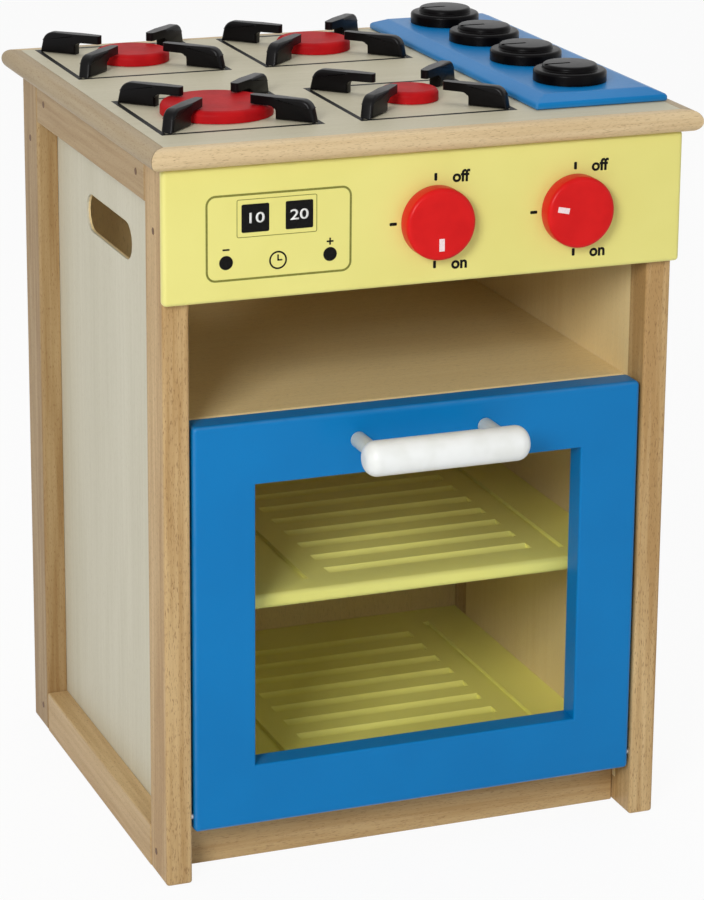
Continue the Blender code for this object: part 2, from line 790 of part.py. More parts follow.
door_frame = block(
    "door_frame",
    (-DOOR_HALF, FRONT, DOOR_BOTTOM),
    (DOOR_HALF, DOOR_BACK, DOOR_TOP),
    BLUE_PAINT,
    DOOR_ROUNDING,
)
cut(
    door_frame,
    box_cutter(
        "door_window",
        (-WINDOW_HALF, FRONT - CUT_OVERRUN, WINDOW_LOW),
        (WINDOW_HALF, DOOR_BACK + CUT_OVERRUN, WINDOW_HIGH),
    ),
)
REBATE_GROWTH = GLAZING_LAP + FIT_GAP
cut(
    door_frame,
    box_cutter(
        "glazing_rebate",
        (-WINDOW_HALF - REBATE_GROWTH, FRONT + GLAZING_SETBACK, WINDOW_LOW - REBATE_GROWTH),
        (WINDOW_HALF + REBATE_GROWTH, DOOR_BACK + CUT_OVERRUN, WINDOW_HIGH + REBATE_GROWTH),
    ),
)
for side, sign in SIDES:
    cut(door_frame, PIVOT_HOLES[side])
hang_on_door(door_frame)
GLAZING_FRONT = FRONT + GLAZING_SETBACK + FIT_GAP
hang_on_door(
    block(
        "door_glazing",
        (-WINDOW_HALF - GLAZING_LAP, GLAZING_FRONT, WINDOW_LOW - GLAZING_LAP),
        (WINDOW_HALF + GLAZING_LAP, GLAZING_FRONT + GLAZING_THICKNESS, WINDOW_HIGH + GLAZING_LAP),
        CLEAR_SHEET,
    )
)

# Handle bar socketed on two standoffs
edge = HANDLE_BAR_RADIUS - HANDLE_END_ROUNDING
shoulder = HANDLE_BAR_LENGTH / 2 - HANDLE_END_ROUNDING
bar_profile = [(0, HANDLE_BAR_LENGTH / 2)]
bar_profile += arc(edge, shoulder, HANDLE_END_ROUNDING, 90, 0, 4)
bar_profile += arc(edge, -shoulder, HANDLE_END_ROUNDING, 0, -90, 4)
bar_profile += [(0, -HANDLE_BAR_LENGTH / 2)]
handle_bar = turned("handle_bar", bar_profile, WHITE_PAINT, (0, HANDLE_Y, HANDLE_Z), ROUND_SIDES)
handle_bar.rotation_euler = (0, math.pi / 2, 0)
STANDOFF_TIP = HANDLE_Y + HANDLE_BAR_RADIUS - STANDOFF_SOCKET_DEPTH
STANDOFF_BASE = FRONT - FIT_GAP
for side, sign in SIDES:
    hang_on_door(
        rod(
            "handle_standoff_" + side,
            STANDOFF_RADIUS,
            STANDOFF_BASE - STANDOFF_TIP,
            (sign * HANDLE_SPACING / 2, (STANDOFF_BASE + STANDOFF_TIP) / 2, HANDLE_Z),
            "Y",
            BRIGHT_METAL,
            SMALL_ROUND_SIDES,
        )
    )
    socket_end = HANDLE_Y + HANDLE_BAR_RADIUS + CUT_OVERRUN
    socket_start = STANDOFF_TIP - FIT_GAP
    cut(
        handle_bar,
        rod_cutter(
            "handle_socket_" + side,
            STANDOFF_RADIUS + FIT_GAP,
            socket_end - socket_start,
            (sign * HANDLE_SPACING / 2, (socket_end + socket_start) / 2, HANDLE_Z),
            "Y",
            SMALL_ROUND_SIDES,
        ),
    )
hang_on_door(handle_bar)

# Magnetic catch under the compartment floor and its plate on the door
CATCH_X = INNER_HALF - CATCH_SIDE_INSET
CATCH_TOP = COMPARTMENT_UNDERSIDE - FIT_GAP
PLATE_FRONT = DOOR_BACK + FIT_GAP
CATCH_FRONT = PLATE_FRONT + CATCH_PLATE_THICKNESS + CATCH_AIR_GAP
block(
    "door_catch",
    (CATCH_X - CATCH_LENGTH / 2, CATCH_FRONT, CATCH_TOP - CATCH_HEIGHT),
    (CATCH_X + CATCH_LENGTH / 2, CATCH_FRONT + CATCH_DEPTH, CATCH_TOP),
    WHITE_PLASTIC,
    CATCH_ROUNDING,
)
CATCH_MIDDLE = CATCH_TOP - CATCH_HEIGHT / 2
hang_on_door(
    block(
        "catch_plate",
        (
            CATCH_X - CATCH_PLATE_LENGTH / 2,
            PLATE_FRONT,
            CATCH_MIDDLE - CATCH_PLATE_HEIGHT / 2,
        ),
        (
            CATCH_X + CATCH_PLATE_LENGTH / 2,
            PLATE_FRONT + CATCH_PLATE_THICKNESS,
            CATCH_MIDDLE + CATCH_PLATE_HEIGHT / 2,
        ),
        BRIGHT_METAL,
    )
)


# Pan supports, four alike around each ring and pointing at its centre
def support_mesh():
    """Return the mesh of one pan support, drawn from its ring's centre outwards."""
    block_inner = SUPPORT_TIP_RADIUS + SUPPORT_TONGUE_LENGTH
    foot = block_inner + SUPPORT_BLOCK_LENGTH
    under = SUPPORT_HEIGHT - SUPPORT_TONGUE_THICKNESS
    points = [
        (block_inner, 0),
        (foot, 0),
        (foot - SUPPORT_LEAN, SUPPORT_HEIGHT),
        (SUPPORT_TIP_RADIUS, SUPPORT_HEIGHT),
        (SUPPORT_TIP_RADIUS, under),
        (block_inner - SUPPORT_HAUNCH, under),
        (block_inner, under - SUPPORT_HAUNCH),
    ]
    mesh = stand_up(outline_mesh("pan_support", points, SUPPORT_WIDTH))
    share = SUPPORT_TIP_WIDTH / SUPPORT_WIDTH
    middle = (SUPPORT_TIP_RADIUS + block_inner) / 2
    for vert in mesh.vertices:
        if vert.co.x < middle:
            vert.co.y *= share
    mesh.materials.append(BLACK_PAINT)
    return mesh


SUPPORT_MESH = support_mesh()
CORNERS = (("rear_right", 45), ("rear_left", 135), ("front_left", 225), ("front_right", 315))


def hob_ring(name, radius, across, back):
    """Make one ring and the four pan supports around it."""
    place = (across, back, HOB_LEVEL)
    profile = [(0, RING_HEIGHT)]
    profile += arc(radius - RING_ROUNDING, RING_HEIGHT - RING_ROUNDING, RING_ROUNDING, 90, 0, 4)
    profile += [(radius, 0), (0, 0)]
    turned("hob_ring_" + name, profile, RED_PAINT, place, ROUND_SIDES)
    for label, angle in CORNERS:
        item = add_object("pan_support_" + name + "_" + label, SUPPORT_MESH, None, PARTS, place)
        item.rotation_euler = (0, 0, math.radians(angle))
        round_edges(item, SUPPORT_ROUNDING, 2)


LEFT_COLUMN = -HALF_WIDTH + RING_LEFT_INSET
RIGHT_COLUMN = HOB_BLOCK_LEFT - RING_RIGHT_INSET
FRONT_ROW = FRONT + RING_FRONT_INSET
REAR_ROW = BACK - RING_REAR_INSET
hob_ring("fl", FRONT_LEFT_RING_RADIUS, LEFT_COLUMN, FRONT_ROW)
hob_ring("rl", REAR_LEFT_RING_RADIUS, LEFT_COLUMN, REAR_ROW)
hob_ring("fr", FRONT_RIGHT_RING_RADIUS, RIGHT_COLUMN, FRONT_ROW)
hob_ring("rr", REAR_RIGHT_RING_RADIUS, RIGHT_COLUMN, REAR_ROW)

# Blue block on the hob, sloped in round its top, with four black knobs
def sloped_block(name, low, high, slope_width, slope_height, surface):
    """Make a box whose top is drawn in by a slope on all four sides."""
    levels = ((0, low[2]), (0, high[2] - slope_height), (slope_width, high[2]))
    points = []
    for inset, level in levels:
        left, right = low[0] + inset, high[0] - inset
        front, rear = low[1] + inset, high[1] - inset
        points += [(left, front, level), (right, front, level), (right, rear, level), (left, rear, level)]
    faces = [(3, 2, 1, 0), (8, 9, 10, 11)]
    for first in (0, 4):
        for index in range(4):
            after = (index + 1) % 4
            faces.append((first + index, first + after, first + after + 4, first + index + 4))
    mesh = bpy.data.meshes.new(name)
    mesh.from_pydata(points, [], faces)
    return add_object(name, mesh, surface, PARTS, (0, 0, 0))


hob_block = sloped_block(
    "hob_control_block",
    (HOB_BLOCK_LEFT, HOB_BLOCK_FRONT, HOB_LEVEL),
    (HOB_BLOCK_RIGHT, HOB_BLOCK_REAR, HOB_BLOCK_TOP),
    HOB_BLOCK_BEVEL_WIDTH,
    HOB_BLOCK_BEVEL_HEIGHT,
    BLUE_PAINT,
)


def hob_knob(number):
    """Make one black knob with its spindle in the block, counted from the front."""
    first = HOB_BLOCK_FRONT + HOB_KNOB_FRONT_INSET
    last = HOB_BLOCK_REAR - HOB_KNOB_REAR_INSET
    back = first + (last - first) * number / (HOB_KNOB_COUNT - 1)
    place = (HOB_BLOCK_RIGHT - HOB_KNOB_SIDE_INSET, back, HOB_BLOCK_TOP)
    name = "hob_knob_" + str(number + 1)
    knob_top = HOB_BLOCK_TOP + HOB_KNOB_HEIGHT
    cap_edge = HOB_KNOB_CAP_RADIUS - HOB_KNOB_CAP_ROUNDING
    cap_shoulder = HOB_KNOB_HEIGHT - HOB_KNOB_CAP_ROUNDING
    base_edge = HOB_KNOB_RADIUS - HOB_KNOB_BASE_ROUNDING
    base_shoulder = HOB_KNOB_BASE_HEIGHT - HOB_KNOB_BASE_ROUNDING
    profile = [(0, HOB_KNOB_HEIGHT)]
    profile += arc(cap_edge, cap_shoulder, HOB_KNOB_CAP_ROUNDING, 90, 0, 3)
    profile += [(HOB_KNOB_CAP_RADIUS, HOB_KNOB_BASE_HEIGHT)]
    profile += arc(base_edge, base_shoulder, HOB_KNOB_BASE_ROUNDING, 90, 0, 3)
    profile += [
        (HOB_KNOB_RADIUS, FIT_GAP),
        (KNOB_SPINDLE_RADIUS, FIT_GAP),
        (KNOB_SPINDLE_RADIUS, -HOB_KNOB_SPINDLE_LENGTH),
        (0, -HOB_KNOB_SPINDLE_LENGTH),
    ]
    item = turned(name, profile, BLACK_PAINT, place, ROUND_SIDES)
    mark = box_cutter(
        name + "_mark",
        (place[0] - HOB_KNOB_RADIUS, back - HOB_KNOB_MARK_WIDTH / 2, knob_top - HOB_KNOB_MARK_DEPTH),
        (place[0], back + HOB_KNOB_MARK_WIDTH / 2, knob_top + CUT_OVERRUN),
    )
    cut(item, mark)
    hole = rod_cutter(
        name + "_hole",
        KNOB_SPINDLE_RADIUS + KNOB_SPINDLE_CLEARANCE,
        HOB_BLOCK_HEIGHT + 2 * CUT_OVERRUN,
        (place[0], back, HOB_LEVEL + HOB_BLOCK_HEIGHT / 2),
        "Z",
        SMALL_ROUND_SIDES,
    )
    cut(hob_block, hole)
    return item


for number in range(HOB_KNOB_COUNT):
    hob_knob(number)
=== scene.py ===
"""Dress a wooden toy cooker: beech framing, painted boards, a glazed oven door and a play hob."""

import logging
import math
from dataclasses import dataclass, field
from enum import Enum
from typing import Any, Callable, Optional, Sequence, Tuple, Union

import bmesh
import bpy
from mathutils import Matrix, Vector


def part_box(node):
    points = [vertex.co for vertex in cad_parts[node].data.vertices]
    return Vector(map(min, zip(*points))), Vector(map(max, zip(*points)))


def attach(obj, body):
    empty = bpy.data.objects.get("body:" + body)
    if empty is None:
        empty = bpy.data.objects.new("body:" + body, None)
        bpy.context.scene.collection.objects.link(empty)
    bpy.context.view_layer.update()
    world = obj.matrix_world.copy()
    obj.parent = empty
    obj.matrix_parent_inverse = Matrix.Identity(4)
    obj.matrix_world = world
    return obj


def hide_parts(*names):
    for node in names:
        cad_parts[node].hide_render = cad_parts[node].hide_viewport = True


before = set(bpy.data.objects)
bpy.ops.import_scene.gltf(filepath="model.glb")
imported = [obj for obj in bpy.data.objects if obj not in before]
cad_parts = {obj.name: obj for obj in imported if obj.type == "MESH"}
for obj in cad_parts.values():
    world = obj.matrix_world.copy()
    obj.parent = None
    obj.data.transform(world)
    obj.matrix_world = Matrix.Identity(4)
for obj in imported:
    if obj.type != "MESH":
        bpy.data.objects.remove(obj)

LOG = logging.getLogger("toy_cooker")
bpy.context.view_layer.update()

Colour = Tuple[float, float, float]
Point = Tuple[float, float, float]
Corner = Union[Point, Vector]

MM = 0.001
TOUCH = 0.00005


def srgb(red: int, green: int, blue: int) -> Colour:
    """Turn a colour read off a screen into linear light.

    Args:
        red: Red from 0 to 255.
        green: Green from 0 to 255.
        blue: Blue from 0 to 255.

    Returns:
        The same colour as three linear values from 0 to 1.
    """
    values = []
    for channel in (red, green, blue):
        share = channel / 255.0
        values.append(share / 12.92 if share <= 0.04045 else ((share + 0.055) / 1.055) ** 2.4)
    return (values[0], values[1], values[2])


class Axis(Enum):
    """A direction in the cooker's frame."""

    X = 0
    Y = 1
    Z = 2


class Weight(Enum):
    """How strongly a wood's figure shows."""

    QUIET = 0.5
    PLAIN = 1.0
    STRONG = 1.5


class Signal:
    """A value in a material's node tree, with arithmetic."""

    def __init__(self, surface: "Surface", socket: bpy.types.NodeSocket) -> None:
        """Wrap one output socket of a surface's node tree."""
        self.surface = surface
        self.socket = socket

    def _maths(self, operation: str, *values: Union["Signal", float]) -> "Signal":
        """Add a Math node.

        Args:
            operation: The node's operation.
            values: What feeds its sockets, in order.

        Returns:
            The node's value.
        """
        node = self.surface.node("ShaderNodeMath", {"operation": operation}, dict(enumerate(values)))
        return Signal(self.surface, node.outputs[0])

    def __add__(self, other: Union["Signal", float]) -> "Signal":
        """Return the sum."""
        return self._maths("ADD", self, other)

    def __radd__(self, other: float) -> "Signal":
        """Return the sum."""
        return self._maths("ADD", other, self)

    def __sub__(self, other: Union["Signal", float]) -> "Signal":
        """Return the difference."""
        return self._maths("SUBTRACT", self, other)

    def __rsub__(self, other: float) -> "Signal":
        """Return a number less this value."""
        return self._maths("SUBTRACT", other, self)

    def __mul__(self, other: Union["Signal", float]) -> "Signal":
        """Return the product."""
        return self._maths("MULTIPLY", self, other)

    def __rmul__(self, other: float) -> "Signal":
        """Return the product."""
        return self._maths("MULTIPLY", other, self)

    def least(self, other: Union["Signal", float]) -> "Signal":
        """Return the smaller of two values."""
        return self._maths("MINIMUM", self, other)

    def most(self, other: Union["Signal", float]) -> "Signal":
        """Return the larger of two values."""
        return self._maths("MAXIMUM", self, other)

    def ramp(self, low: float, high: float, start: float = 0.0, end: float = 1.0) -> "Signal":
        """Ease between two values.

        Args:
            low: Where the change begins.
            high: Where it is complete.
            start: The result at and below low.
            end: The result at and above high.

        Returns:
            The eased value.
        """
        node = self.surface.node(
            "ShaderNodeMapRange",
            {"interpolation_type": "SMOOTHSTEP", "clamp": True},
            {"Value": self, "From Min": low, "From Max": high, "To Min": start, "To Max": end},
        )
        return Signal(self.surface, node.outputs[0])


class Surface:
    """A material under construction."""

    def __init__(self, name: str) -> None:
        """Start a material that has one Principled shader.

        Args:
            name: The material's name.
        """
        self.material = bpy.data.materials.new(name)
        self.material.use_nodes = True
        self.tree = self.material.node_tree
        self.shader = self.tree.nodes["Principled BSDF"]
        self.output = self.tree.nodes["Material Output"]
        place = self.node("ShaderNodeTexCoord", {}, {})
        self.place = place.outputs["Object"]

    def node(self, kind: str, settings: dict, inputs: dict) -> bpy.types.Node:
        """Add any node.

        Args:
            kind: The node's type.
            settings: Its properties, set before its sockets.
            inputs: Values, signals or sockets by socket name or number.

        Returns:
            The new node.
        """
        made = self.tree.nodes.new(kind)
        for key, value in settings.items():
            setattr(made, key, value)
        for key, value in inputs.items():
            self.feed(made.inputs[key], value)
        return made

    def feed(self, socket: bpy.types.NodeSocket, value: Any) -> None:
        """Link a signal or socket to an input, or set a plain value on it.

        Args:
            socket: The input.
            value: A signal, a socket, a colour or a number.
        """
        if isinstance(value, Signal):
            self.tree.links.new(value.socket, socket)
        elif isinstance(value, bpy.types.NodeSocket):
            self.tree.links.new(value, socket)
        elif isinstance(value, tuple) and len(value) == 3 and socket.type == "RGBA":
            socket.default_value = (*value, 1.0)
        else:
            socket.default_value = value

    def set(self, **values: Any) -> None:
        """Set or link the shader's inputs, with underscores for spaces in their names."""
        for key, value in values.items():
            self.feed(self.shader.inputs[key.replace("_", " ")], value)

    def stretched(self, along: float, across: float, axis: Axis) -> bpy.types.NodeSocket:
        """Return the place scaled differently along one axis.

        Args:
            along: Cycles per metre along the axis.
            across: Cycles per metre across it.
            axis: The axis.

        Returns:
            The scaled place.
        """
        scale = [across, across, across]
        scale[axis.value] = along
        node = self.node("ShaderNodeMapping", {}, {"Vector": self.place, "Scale": tuple(scale)})
        return node.outputs[0]

    def noise(self, place: Any, scale: float, detail: float = 2.0, rough: float = 0.5) -> Signal:
        """Return soft noise from 0 to 1.

        Args:
            place: Where the noise is read.
            scale: Its cycles per metre.
            detail: How many finer layers it has.
            rough: How strong those are.

        Returns:
            The noise.
        """
        node = self.node(
            "ShaderNodeTexNoise",
            {},
            {"Vector": place, "Scale": scale, "Detail": detail, "Roughness": rough},
        )
        return Signal(self, node.outputs[0])

    def mixed(self, share: Union[Signal, float], first: Any, second: Any) -> bpy.types.NodeSocket:
        """Return a colour between two colours."""
        node = self.node("ShaderNodeMix", {"data_type": "RGBA"}, {0: share, 6: first, 7: second})
        return node.outputs[2]

    def bump(self, height: Signal, distance: float, strength: float = 1.0) -> None:
        """Raise the surface by a height signal times a distance.

        Args:
            height: The signal.
            distance: The height in metres at a signal of 1.
            strength: The share of it that shows.
        """
        node = self.node(
            "ShaderNodeBump",
            {},
            {"Height": height, "Distance": distance, "Strength": strength},
        )
        self.set(Normal=node.outputs[0])

    def axes(self) -> Tuple[Signal, Signal, Signal]:
        """Return the place's three parts."""
        node = self.node("ShaderNodeSeparateXYZ", {}, {0: self.place})
        return tuple(Signal(self, socket) for socket in node.outputs)

    def arris(self, low: Corner, high: Corner) -> Signal:
        """Return the distance in metres to the nearest edge of a box.

        Args:
            low: The box's lowest corner.
            high: The box's highest corner.

        Returns:
            The distance, near 0 along every edge.
        """
        reach = []
        for part, bottom, top in zip(self.axes(), low, high):
            reach.append((part - bottom).least(top - part))
        small = reach[0].least(reach[1])
        large = reach[0].most(reach[1])
        return small.most(large.least(reach[2]))


@dataclass(frozen=True)
class Timber:
    """Bare lacquered wood with its figure along one axis."""

    name: str
    light: Colour
    dark: Colour
    fleck: Colour
    grain: Axis
    weight: Weight = Weight.PLAIN
    roughness: float = 0.5
    lining: Optional[Tuple[Colour, Colour, float]] = None

    def material(self) -> bpy.types.Material:
        """Return the wood's material.

        Returns:
            The material.
        """
        made = Surface(self.name)
        broad = made.noise(made.stretched(2.2, 26.0, self.grain), 1.0, 2.0, 0.55)
        streak = made.noise(made.stretched(9.0, 260.0, self.grain), 1.0, 3.0, 0.6)
        fibre = made.noise(made.stretched(60.0, 1500.0, self.grain), 1.0, 2.0, 0.5)
        pores = made.noise(made.stretched(260.0, 2100.0, self.grain), 1.0, 1.0, 0.5)
        force = self.weight.value
        tone = broad.ramp(0.3, 0.72) * 0.55 + streak.ramp(0.3, 0.72) * 0.45
        body = made.mixed(tone * force, self.light, self.dark)
        # Inner faces take warmer, lighter tones here: painted bounce light between the inner walls.
        if self.lining is not None:
            light, dark, split = self.lining
            across = made.axes()[0]
            outer = across.most(across * -1.0).ramp(split - 0.0004, split + 0.0004)
            body = made.mixed(outer, made.mixed(tone * force, light, dark), body)
        marks = pores.ramp(0.58, 0.72) * (0.45 * force)
        made.set(Base_Color=made.mixed(marks, body, self.fleck))
        made.set(Roughness=streak * 0.14 + (self.roughness - 0.07))
        made.set(Coat_Weight=0.05, Coat_Roughness=0.3, Specular_IOR_Level=0.3)
        made.bump(fibre * 0.6 + pores * 0.4, 0.00008, 0.35)
        return made.material


@dataclass(frozen=True)
class Paint:
    """A brushed or sprayed coat on wood, paler along its edges, partly from wear and partly as a painted
    highlight.
    """

    name: str
    colour: Colour
    shade: Colour
    worn: Colour
    low: Corner
    high: Corner
    roughness: float = 0.36
    wear: float = 0.3
    gloss: float = 0.0
    shine: float = 0.2

    def material(self) -> bpy.types.Material:
        """Return the paint's material.

        Returns:
            The material.
        """
        made = Surface(self.name)
        cloud = made.noise(made.place, 14.0, 2.0, 0.5)
        peel = made.noise(made.place, 420.0, 2.0, 0.5)
        speck = made.noise(made.place, 1500.0, 1.0, 0.5)
        rub_and_sheen = made.noise(made.place, 75.0, 3.0, 0.65)
        # Paler edges: partly worn paint, partly a painted highlight along the rounded arrises.
        edge = made.arris(self.low, self.high).ramp(0.0004, 0.0026, 1.0, 0.0)
        body = made.mixed(cloud.ramp(0.3, 0.7) * 0.5, self.colour, self.shade)
        worn = edge * (rub_and_sheen.ramp(0.3, 0.7) * 0.5 + 0.5) * self.wear
        made.set(Base_Color=made.mixed(worn, body, self.worn))
        made.set(Roughness=peel * 0.1 + cloud * 0.08 + (self.roughness - 0.09), Coat_Weight=self.gloss)
        made.set(Coat_Roughness=0.2, Specular_IOR_Level=self.shine)
        made.bump(peel * 0.8 + speck * 0.2, 0.00005, 0.6)
        return made.material


@dataclass(frozen=True)
class Enamel:
    """A dipped gloss coat on a small turned or shaped wooden piece."""

    name: str
    colour: Colour
    shade: Colour
    roughness: float = 0.25
    gloss: float = 0.15
    shine: float = 0.3
    relief: float = 0.05 * MM

    def material(self) -> bpy.types.Material:
        """Return the coat's material.

        Returns:
            The material.
        """
        made = Surface(self.name)
        cloud = made.noise(made.place, 55.0, 2.0, 0.5)
        ripple = made.noise(made.place, 260.0, 2.0, 0.5)
        dust = made.noise(made.place, 1700.0, 1.0, 0.5)
        body = made.mixed(cloud.ramp(0.3, 0.7), self.colour, self.shade)
        made.set(Base_Color=body, Roughness=ripple * 0.1 + dust * 0.05 + (self.roughness - 0.07))
        made.set(Coat_Weight=self.gloss, Coat_Roughness=0.14, Specular_IOR_Level=self.shine)
        made.bump(ripple * 0.9 + dust * 0.1, self.relief, 0.4)
        return made.material


@dataclass(frozen=True)
class SatinMetal:
    """Turned metal with fine rings along its axis."""

    name: str
    colour: Colour
    shade: Colour
    axis: Axis
    roughness: float = 0.3
    metal: float = 1.0

    def material(self) -> bpy.types.Material:
        """Return the metal's material.

        Returns:
            The material.
        """
        made = Surface(self.name)
        rings = made.noise(made.stretched(2600.0, 60.0, self.axis), 1.0, 2.0, 0.5)
        cloud = made.noise(made.place, 90.0, 2.0, 0.5)
        made.set(Base_Color=made.mixed(cloud, self.colour, self.shade), Metallic=self.metal)
        made.set(Roughness=rings * 0.16 + (self.roughness - 0.08))
        made.bump(rings, 0.00003, 0.4)
        return made.material


@dataclass(frozen=True)
class Moulding:
    """Moulded plastic with a fine spark texture."""

    name: str
    colour: Colour
    shade: Colour
    roughness: float = 0.45

    def material(self) -> bpy.types.Material:
        """Return the plastic's material.

        Returns:
            The material.
        """
        made = Surface(self.name)
        spark = made.noise(made.place, 1900.0, 2.0, 0.5)
        cloud = made.noise(made.place, 120.0, 2.0, 0.5)
        made.set(Base_Color=made.mixed(cloud, self.colour, self.shade))
        made.set(Roughness=spark * 0.12 + (self.roughness - 0.06))
        made.bump(spark, 0.00003, 0.5)
        return made.material


@dataclass(frozen=True)
class ClearSheet:
    """A clear plastic pane that lets light through."""

    name: str
    tint: Colour
    haze: float = 0.1

    def material(self) -> bpy.types.Material:
        """Return the pane's material.

        Returns:
            The material.
        """
        made = Surface(self.name)
        film = made.noise(made.place, 9.0, 3.0, 0.6)
        dust = made.noise(made.place, 700.0, 2.0, 0.6)
        made.set(Base_Color=self.tint, Roughness=film * 0.05 + 0.03)
        made.set(Alpha=film * 0.04 + dust.ramp(0.62, 0.8) * 0.05 + self.haze)
        return made.material


@dataclass(frozen=True)
class Ink:
    """A screen-printed mark with slightly uneven cover."""

    name: str
    colour: Colour
    shade: Colour
    roughness: float = 0.5

    def material(self) -> bpy.types.Material:
        """Return the ink's material.

        Returns:
            The material.
        """
        made = Surface(self.name)
        cover = made.noise(made.place, 650.0, 3.0, 0.6)
        made.set(Base_Color=made.mixed(cover.ramp(0.4, 0.75), self.colour, self.shade))
        made.set(Roughness=cover * 0.15 + (self.roughness - 0.07), Specular_IOR_Level=0.1)
        made.bump(cover, 0.00002, 0.3)
        return made.material


class Bench:
    """Hand modelling with Blender's own edit tools."""

    @staticmethod
    def clear() -> None:
        """Leave edit mode and select nothing."""
        active = bpy.context.view_layer.objects.active
        if active is not None and active.mode != "OBJECT":
            bpy.ops.object.mode_set(mode="OBJECT")
        bpy.ops.object.select_all(action="DESELECT")

    @staticmethod
    def hold(piece: bpy.types.Object) -> None:
        """Make one piece the only one selected, and active.

        Args:
            piece: The piece.
        """
        Bench.clear()
        piece.select_set(True)
        bpy.context.view_layer.objects.active = piece

    @staticmethod
    def settle(piece: bpy.types.Object) -> bpy.types.Object:
        """Put a piece's place, turn and scale into its mesh, and return it.

        Args:
            piece: The piece.

        Returns:
            The same piece.
        """
        Bench.hold(piece)
        bpy.ops.object.transform_apply(location=True, rotation=True, scale=True)
        return piece

    @staticmethod
    def block(name: str, low: Corner, high: Corner) -> bpy.types.Object:
        """Add a box between two corners and settle it.

        Args:
            name: The box's name.
            low: Its lowest corner.
            high: Its highest corner.

        Returns:
            The box.
        """
        Bench.clear()
        centre = [(bottom + top) / 2 for bottom, top in zip(low, high)]
        bpy.ops.mesh.primitive_cube_add(size=1, location=centre)
        piece = bpy.context.object
        piece.name = name
        piece.data.name = name
        piece.scale = [top - bottom for bottom, top in zip(low, high)]
        return Bench.settle(piece)

    @staticmethod
    def drum(
        name: str,
        centre: Corner,
        radius: float,
        length: float,
        axis: Axis,
        sides: int,
    ) -> bpy.types.Object:
        """Add a round bar centred at a place along an axis and settle it.

        Args:
            name: The bar's name.
            centre: Its middle.
            radius: Its radius.
            length: Its length.
            axis: The axis that it lies along.
            sides: How many sides it has.

        Returns:
            The bar.
        """
        Bench.clear()
        turns = {Axis.X: (0, math.pi / 2, 0), Axis.Y: (math.pi / 2, 0, 0), Axis.Z: (0, 0, 0)}
        bpy.ops.mesh.primitive_cylinder_add(
            vertices=sides,
            radius=radius,
            depth=length,
            location=centre,
            rotation=turns[axis],
        )
        piece = bpy.context.object
        piece.name = name
        piece.data.name = name
        return Bench.settle(piece)

    @staticmethod
    def pick_edges(piece: bpy.types.Object, wanted: Callable[[Vector, Vector], bool]) -> int:
        """Open a piece in edit mode with only the wanted edges selected.

        Args:
            piece: The piece.
            wanted: A test on an edge's two end points.

        Returns:
            How many edges were picked.
        """
        Bench.hold(piece)
        bpy.ops.object.mode_set(mode="EDIT")
        bpy.ops.mesh.select_mode(type="EDGE")
        bpy.ops.mesh.select_all(action="DESELECT")
        mesh = bmesh.from_edit_mesh(piece.data)
        count = 0
        for edge in mesh.edges:
            if wanted(edge.verts[0].co, edge.verts[1].co):
                edge.select_set(True)
                count += 1
        bmesh.update_edit_mesh(piece.data)
        return count

    @staticmethod
    def pick_faces(piece: bpy.types.Object, wanted: Callable[[Vector, Vector], bool]) -> int:
        """Open a piece in edit mode with only the wanted faces selected.

        Args:
            piece: The piece.
            wanted: A test on a face's middle and its normal.

        Returns:
            How many faces were picked.
        """
        Bench.hold(piece)
        bpy.ops.object.mode_set(mode="EDIT")
        bpy.ops.mesh.select_mode(type="FACE")
        bpy.ops.mesh.select_all(action="DESELECT")
        mesh = bmesh.from_edit_mesh(piece.data)
        mesh.normal_update()
        count = 0
        for face in mesh.faces:
            if wanted(face.calc_center_median(), face.normal):
                face.select_set(True)
                count += 1
        bmesh.update_edit_mesh(piece.data)
        return count

    @staticmethod
    def bevel(
        piece: bpy.types.Object,
        width: float,
        steps: int,
        wanted: Callable[[Vector, Vector], bool],
    ) -> bpy.types.Object:
        """Round the edges that pass a test on their two end points, and return the piece.

        Args:
            piece: The piece.
            width: The rounding's width.
            steps: How many faces it takes.
            wanted: A test on an edge's two end points.

        Returns:
            The same piece.
        """
        if Bench.pick_edges(piece, wanted):
            bpy.ops.mesh.bevel(
                offset=width,
                offset_type="OFFSET",
                segments=steps,
                profile=0.5,
                affect="EDGES",
            )
        Bench.clear()
        return piece

    @staticmethod
    def bevel_all(piece: bpy.types.Object, width: float, steps: int) -> bpy.types.Object:
        """Round every edge of a piece and return it."""
        return Bench.bevel(piece, width, steps, lambda first, second: True)

    @staticmethod
    def box_edges(low: Corner, high: Corner) -> Callable[[Vector, Vector], bool]:
        """Return a test for the edges that lie along the edges of a box.

        Args:
            low: The box's lowest corner.
            high: The box's highest corner.

        Returns:
            The test.
        """
        slack = 0.00002

        def wanted(first: Vector, second: Vector) -> bool:
            """Return whether both ends share two of the box's outer planes."""
            shared = 0
            for axis in range(3):
                for plane in (low[axis], high[axis]):
                    if abs(first[axis] - plane) < slack and abs(second[axis] - plane) < slack:
                        shared += 1
            return shared >= 2

        return wanted

    @staticmethod
    def cut(piece: bpy.types.Object, cutters: Sequence[bpy.types.Object]) -> bpy.types.Object:
        """Take cutters out of a piece, remove them, and return the piece.

        Args:
            piece: The piece.
            cutters: What is taken out of it.

        Returns:
            The same piece.
        """
        for index, cutter in enumerate(cutters):
            Bench.hold(piece)
            change = piece.modifiers.new("cut_" + str(index), "BOOLEAN")
            change.operation = "DIFFERENCE"
            change.solver = "EXACT"
            change.object = cutter
            bpy.ops.object.modifier_apply(modifier=change.name)
            bpy.data.objects.remove(cutter, do_unlink=True)
        return piece

    @staticmethod
    def join(pieces: Sequence[bpy.types.Object]) -> bpy.types.Object:
        """Join pieces into the first one and return it.

        Args:
            pieces: The pieces.

        Returns:
            The first piece.
        """
        Bench.clear()
        for piece in pieces:
            piece.select_set(True)
        bpy.context.view_layer.objects.active = pieces[0]
        bpy.ops.object.join()
        return pieces[0]

